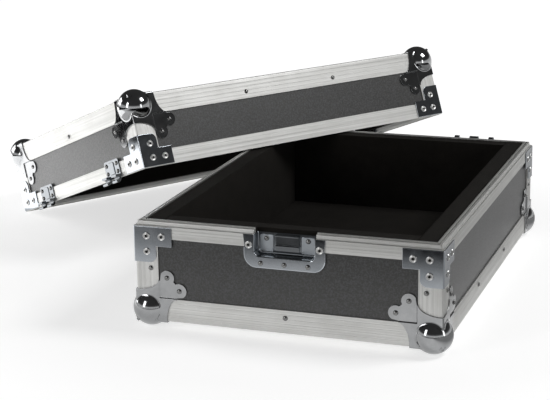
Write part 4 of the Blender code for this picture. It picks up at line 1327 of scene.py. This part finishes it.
def lid_hinge():
    """Leaf with two hooks that drop over the pin from outside, between the base's knuckles."""
    start = MIDDLE_KNUCKLE / 2 + HOOK_PLAY
    stop = HINGE_WIDTH / 2 - END_KNUCKLE - HOOK_PLAY
    leaf, fastened = hinge_leaf("lid_hinge", 1, stop)
    axis = (PIN_INSET, -GAP)
    bore = PIN_RADIUS + PIN_PLAY
    mouth = PIN_INSET - HOOK_MOUTH
    root = PLATE_BACK - SHEET / 2
    outer = arc(axis, KNUCKLE_RADIUS, 0, -90, 8)
    shoulder = BRACE_SETBACK + GAP
    profile = [
        (mouth, axis[1] + KNUCKLE_RADIUS), (root, axis[1] + KNUCKLE_RADIUS), (root, shoulder),
        (outer[0][0], shoulder), *outer, (mouth, axis[1] - KNUCKLE_RADIUS), (mouth, axis[1] - bore),
        *arc(axis, bore, -90, 90, 14), (mouth, axis[1] + bore),
    ]
    for low, high in ((-stop, -start), (start, stop)):
        combine(leaf, knuckle("lid_knuckle", profile, low, high), "UNION")
    return joined(leaf, fastened)


for half, make_hinge, level in (("base", base_hinge, BASE_RIM), ("lid", lid_hinge, 0)):
    master = make_hinge()
    for label, way in (("right", -1), ("left", 1)):
        hinge = copy_of(master)
        hinge.name = f"{half}_liftoff_hinge_{label}"
        across = Matrix.Translation((way * HINGE_SPACING / 2, 0, level))
        place = PLACES[half] @ side_matrix(SIDES["back"]) @ across
        put(hinge, place, half, "zinc_plate", f"{half}_hinge_{label}")
    discard(master)


# Foam lining


def foam_block(name, low, high, cuts):
    """A strip or pad of foam: its notches cut, its faces in small facets and its edges worn round."""
    block = box_between(name, low, high)
    for cut in cuts:
        combine(block, box_between("cutter", *cut), "DIFFERENCE")
    edit(block)
    for axis in range(3):
        length = high[axis] - low[axis]
        pieces = int(length // FOAM_FACET)
        for cut in range(1, pieces):
            place = [0.0, 0.0, 0.0]
            normal = [0.0, 0.0, 0.0]
            place[axis] = low[axis] + length * cut / pieces
            normal[axis] = 1.0
            bpy.ops.mesh.select_all(action="SELECT")
            bpy.ops.mesh.bisect(plane_co=place, plane_no=normal)
    leave_edit()
    round_edges(block, FOAM_EDGE, segments=3, angle=60)
    return block


def soften(block):
    """Let the foam's faces wander by a fraction of a millimetre, always inward."""
    texture = bpy.data.textures.new("foam_unevenness", "CLOUDS")
    texture.noise_scale = FOAM_WAVE
    modify(block, "DISPLACE", texture=texture, strength=FOAM_WANDER, mid_level=1.0)
    finish_with(block, FOAM)


def lay_foam(name, half, node, low, high, cuts=()):
    """One sheet of foam, made and put in its half of the case."""
    block = foam_block(name, low, high, cuts)
    soften(block)
    put(block, PLACES[half], half, "foam", node)


def line_walls(prefix, half, node, thickness, bottom, top, notch, rebates=()):
    """Four strips round a half: the long ones reach from end to end, the short ones fit between."""
    x, y = CASE_WIDTH / 2 - FOAM_START, CASE_DEPTH / 2 - FOAM_START
    inner = x - thickness - GAP / 2
    strips = {
        "left": ((-x, -y, bottom), (-x + thickness, y, top)),
        "right": ((x - thickness, -y, bottom), (x, y, top)),
        "back": ((-inner, y - thickness, bottom), (inner, y, top)),
        "front": ((-inner, -y, bottom), (inner, -y + thickness, top)),
    }
    for label, (low, high) in strips.items():
        cuts = [rebate for rebate in rebates if meets(rebate, low, high)]
        if label == "front":
            cuts.append(notch)
        lay_foam(f"{prefix}_{label}", half, node, low, high, cuts)


def meets(box, low, high):
    """Whether a box cuts into the space between two corners."""
    near_corner, far_corner = box
    return all(near_corner[axis] < high[axis] and far_corner[axis] > low[axis] for axis in range(3))


def lip_rebates():
    """Boxes over the outer edge of the base's foam, where the lid's lip comes down."""
    x, y = CASE_WIDTH / 2, CASE_DEPTH / 2
    inner_x, inner_y = x - FOAM_RAISED, y - FOAM_RAISED
    top = FOAM_TOP + MM
    return (
        ((-x, -y, FOAM_STEP), (-inner_x, y, top)),
        ((inner_x, -y, FOAM_STEP), (x, y, top)),
        ((-x, -y, FOAM_STEP), (x, -inner_y, top)),
        ((-x, inner_y, FOAM_STEP), (x, y, top)),
    )


def dish_notch(low, high):
    """Box behind a latch dish's pan, between two levels."""
    face = -CASE_DEPTH / 2
    return (-NOTCH_HALF, face, low), (NOTCH_HALF, face + NOTCH_DEPTH, high)


def lay_mat(name, half, node, inset, low, high):
    """A level sheet of foam between two levels, this far inside the case's sides."""
    x, y = CASE_WIDTH / 2 - inset, CASE_DEPTH / 2 - inset
    lay_foam(name, half, node, (-x, -y, low), (x, y, high))


keeper_notch = dish_notch(BASE_RIM - KEEPER_PAN_HEIGHT - SHEET - GAP, FOAM_TOP + MM)
latch_notch = dish_notch(0, LATCH_PAN_HEIGHT + SHEET + GAP)
pad_low = LID_FOAM_HIGH - LID_FOAM_PAD
line_walls("wall_foam", "base", "foam_walls", FOAM_WALL, FOAM_LOW, FOAM_TOP, keeper_notch, lip_rebates())
lay_mat("floor_foam", "base", "foam_floor", FOAM_START + FOAM_WALL + GAP, FOAM_LOW, FOAM_LOW + FOAM_FLOOR)
line_walls("lid_skirt_foam", "lid", "lid_foam_lining", LID_FOAM_WALL, LID_FOAM_LOW, pad_low, latch_notch)
lay_mat("lid_pad_foam", "lid", "lid_foam_lining", FOAM_START, pad_low + GAP, LID_FOAM_HIGH)

# Panels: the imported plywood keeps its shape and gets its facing

for panel in ("base_carcass", "lid_carcass"):
    finish_with(frame["nodes"][panel], LAMINATE)
discard(DOME, POP)


# Floor, light and camera

FLOOR_RADIUS = 6.0
FLOOR_DROP = 0.2 * MM
FLOOR_PAINT = (0.62, 0.62, 0.62)
# The floor's glow is weaker near the case, a painted shade round it that also shows in what shines
FLOOR_GLOW = ((0.0, 0.62), (0.07, 0.64), (0.14, 0.83), (0.30, 0.92), (1.0, 0.93))
ROOM_LIGHT = ((0.0, 0.90), (0.13, 0.80), (0.20, 0.12), (0.32, 0.06), (1.0, 0.06))
# The card below is a painted dark reflection: its black shows only in what shines, fading in and out at these
# places
CARD = ((-2.5, -2.5), (2.5, 1.0))
CARD_RISE = 1 * MM
CARD_BLACK = (0.012, 0.012, 0.014)
CARD_CORNER_FADE = (-0.95, -0.15)
CARD_FRONT_FADE = (-0.42, -0.71)
CARD_LEFT_FADE = (-1.01, -1.07)
CARD_RIGHT_FADE = (0.45, 0.80)
CARD_NEAR_RIGHT_FADE = (0.20, 0.25)
CARD_NEAR_RIGHT_COVER = 0.62
LAMP_RISE = 2 * MM
LENS = 105.02
CAMERA_PLACE = (0.604086, -2.009073, 0.666995)
CAMERA_HEADING = 0.340694
CAMERA_DIP = 0.265864
CAMERA_ROLL = -0.016339


class Setting(Nodes):
    """The emptied nodes of a stage material or of the world."""

    def __init__(self, owner):
        super().__init__(owner)
        self.tree.nodes.clear()

    def place(self, kind):
        return self.add("ShaderNodeTexCoord").outputs[kind]

    def shader(self, kind, *sources):
        return self.add(kind, *sources).outputs[0]

    def shown_to(self, *kinds):
        """One where a ray is of any of these kinds."""
        seen = self.add("ShaderNodeLightPath")
        total = seen.outputs[kinds[0]]
        for kind in kinds[1:]:
            total = self.maths("MAXIMUM", total, seen.outputs[kind])
        return total

    def fade(self, source, bare, full, cover=1.0):
        """A soft step from nothing at bare to the cover at full."""
        step = self.add("ShaderNodeMapRange", source, bare, full, 0.0, cover)
        step.interpolation_type = "SMOOTHSTEP"
        return step.outputs["Result"]


def pale_floor():
    """Large pale floor that fades to white away from the case and keeps the case's soft shadow."""
    activate()
    bpy.ops.mesh.primitive_circle_add(
        vertices=64, radius=FLOOR_RADIUS, fill_type="NGON", location=(0, 0, GROUND - FLOOR_DROP)
    )
    floor = name_piece("studio_floor")
    bpy.ops.object.transform_apply(location=True)
    material = bpy.data.materials.new("pale_floor")
    paint = Setting(material)
    away = paint.add("ShaderNodeVectorMath", paint.place("Object"), operation="LENGTH")
    share = paint.maths("DIVIDE", away.outputs["Value"], FLOOR_RADIUS)
    coat = paint.shader("ShaderNodeBsdfDiffuse", FLOOR_PAINT)
    glow = paint.shader("ShaderNodeEmission", paint.ramp(share, *FLOOR_GLOW))
    glowing = paint.shader("ShaderNodeAddShader", coat, glow)
    shown = paint.shown_to("Is Camera Ray", "Is Glossy Ray", "Is Transmission Ray")
    paint.add("ShaderNodeOutputMaterial", paint.shader("ShaderNodeMixShader", shown, coat, glowing))
    floor.data.materials.append(material)


def dark_reflection_card():
    """Black card on the floor before and beside the case, out of the picture, seen only in reflections: a
    painted dark reflection for the plates to mirror.
    """
    (left, front), (right, back) = CARD
    activate()
    bpy.ops.mesh.primitive_plane_add(size=1, location=(0, 0, 0))
    card = name_piece("dark_reflection_card")
    card.scale = (right - left, back - front, 1)
    card.location = ((left + right) / 2, (front + back) / 2, GROUND + CARD_RISE)
    bpy.ops.object.transform_apply(location=True, scale=True)
    material = bpy.data.materials.new("dark_reflection_card")
    mirrored_dark = Setting(material)
    parts = mirrored_dark.add("ShaderNodeSeparateXYZ", mirrored_dark.place("Object")).outputs
    corner = mirrored_dark.fade(parts["X"], *CARD_CORNER_FADE)
    before = mirrored_dark.maths("MULTIPLY", corner, mirrored_dark.fade(parts["Y"], *CARD_FRONT_FADE))
    left_side = mirrored_dark.fade(parts["X"], *CARD_LEFT_FADE)
    beside = mirrored_dark.maths("MAXIMUM", left_side, mirrored_dark.fade(parts["X"], *CARD_RIGHT_FADE))
    near_right = mirrored_dark.fade(parts["X"], *CARD_NEAR_RIGHT_FADE, CARD_NEAR_RIGHT_COVER)
    cover = mirrored_dark.maths("MAXIMUM", mirrored_dark.maths("MAXIMUM", before, beside), near_right)
    clear = mirrored_dark.shader("ShaderNodeBsdfTransparent")
    black = mirrored_dark.shader("ShaderNodeBsdfDiffuse", CARD_BLACK)
    mirrored_dark.add("ShaderNodeOutputMaterial", mirrored_dark.shader("ShaderNodeMixShader", cover, clear, black))
    card.data.materials.append(material)
    card.visible_camera = False
    card.visible_diffuse = False
    card.visible_shadow = False


def studio_world():
    """A dim room: pale at the horizon, and dark overhead for what shines."""
    world = bpy.data.worlds.new("studio")
    bpy.context.scene.world = world
    room = Setting(world)
    parts = room.add("ShaderNodeSeparateXYZ", room.place("Generated"))
    light = room.shader("ShaderNodeBackground", room.ramp(parts.outputs["Z"], *ROOM_LIGHT))
    room.add("ShaderNodeOutputWorld", light)


def softbox(name, place, aim, size, power):
    """A soft lamp of a width and height at a place, turned to what it lights."""
    lamp = bpy.data.lights.new(name, "AREA")
    lamp.shape = "RECTANGLE"
    lamp.size, lamp.size_y = size
    lamp.energy = power
    holder = bpy.data.objects.new(name, lamp)
    bpy.context.scene.collection.objects.link(holder)
    holder.location = place
    holder.rotation_euler = (Vector(aim) - Vector(place)).to_track_quat("-Z", "Y").to_euler()
    holder.visible_camera = False


def photo_camera():
    """Camera at the angle of the photograph."""
    lens = bpy.data.cameras.new("photo_camera")
    lens.lens = LENS
    lens.sensor_width = 36.0
    lens.sensor_fit = "HORIZONTAL"
    lens.clip_end = 50.0
    holder = bpy.data.objects.new("photo_camera", lens)
    bpy.context.scene.collection.objects.link(holder)
    turn = Matrix.Rotation(CAMERA_HEADING, 4, "Z") @ Matrix.Rotation(math.pi / 2 - CAMERA_DIP, 4, "X")
    turn = turn @ Matrix.Rotation(CAMERA_ROLL, 4, "Z")
    holder.matrix_world = Matrix.Translation(CAMERA_PLACE) @ turn
    bpy.context.scene.camera = holder


pale_floor()
studio_world()
dark_reflection_card()
softbox("left_softbox", (-2.2, 0.15, 0.6), (-0.3, 0.1, 0.1), (1.0, 0.8), 12)
softbox("low_left_softbox", (-0.80, 0.1, GROUND + LAMP_RISE), (-0.80, 0.1, 1.0), (0.40, 0.9), 1.7)
softbox("floor_softbox", (-1.26, 0.36, GROUND + LAMP_RISE), (-1.26, 0.36, 1.0), (0.44, 0.5), 2.6)
softbox("overhead_softbox", (1.35, 0.3, 1.65), (0, 0.1, 0.1), (0.7, 0.7), 20)
softbox("front_softbox", (-1.15, -1.95, 0.8), (0, 0, 0.1), (0.5, 1.2), 8.5)
softbox("right_softbox", (2.2, -0.8, 0.55), (0, 0, 0.1), (0.3, 0.9), 4)
photo_camera()
bpy.context.scene.view_settings.view_transform = "Standard"
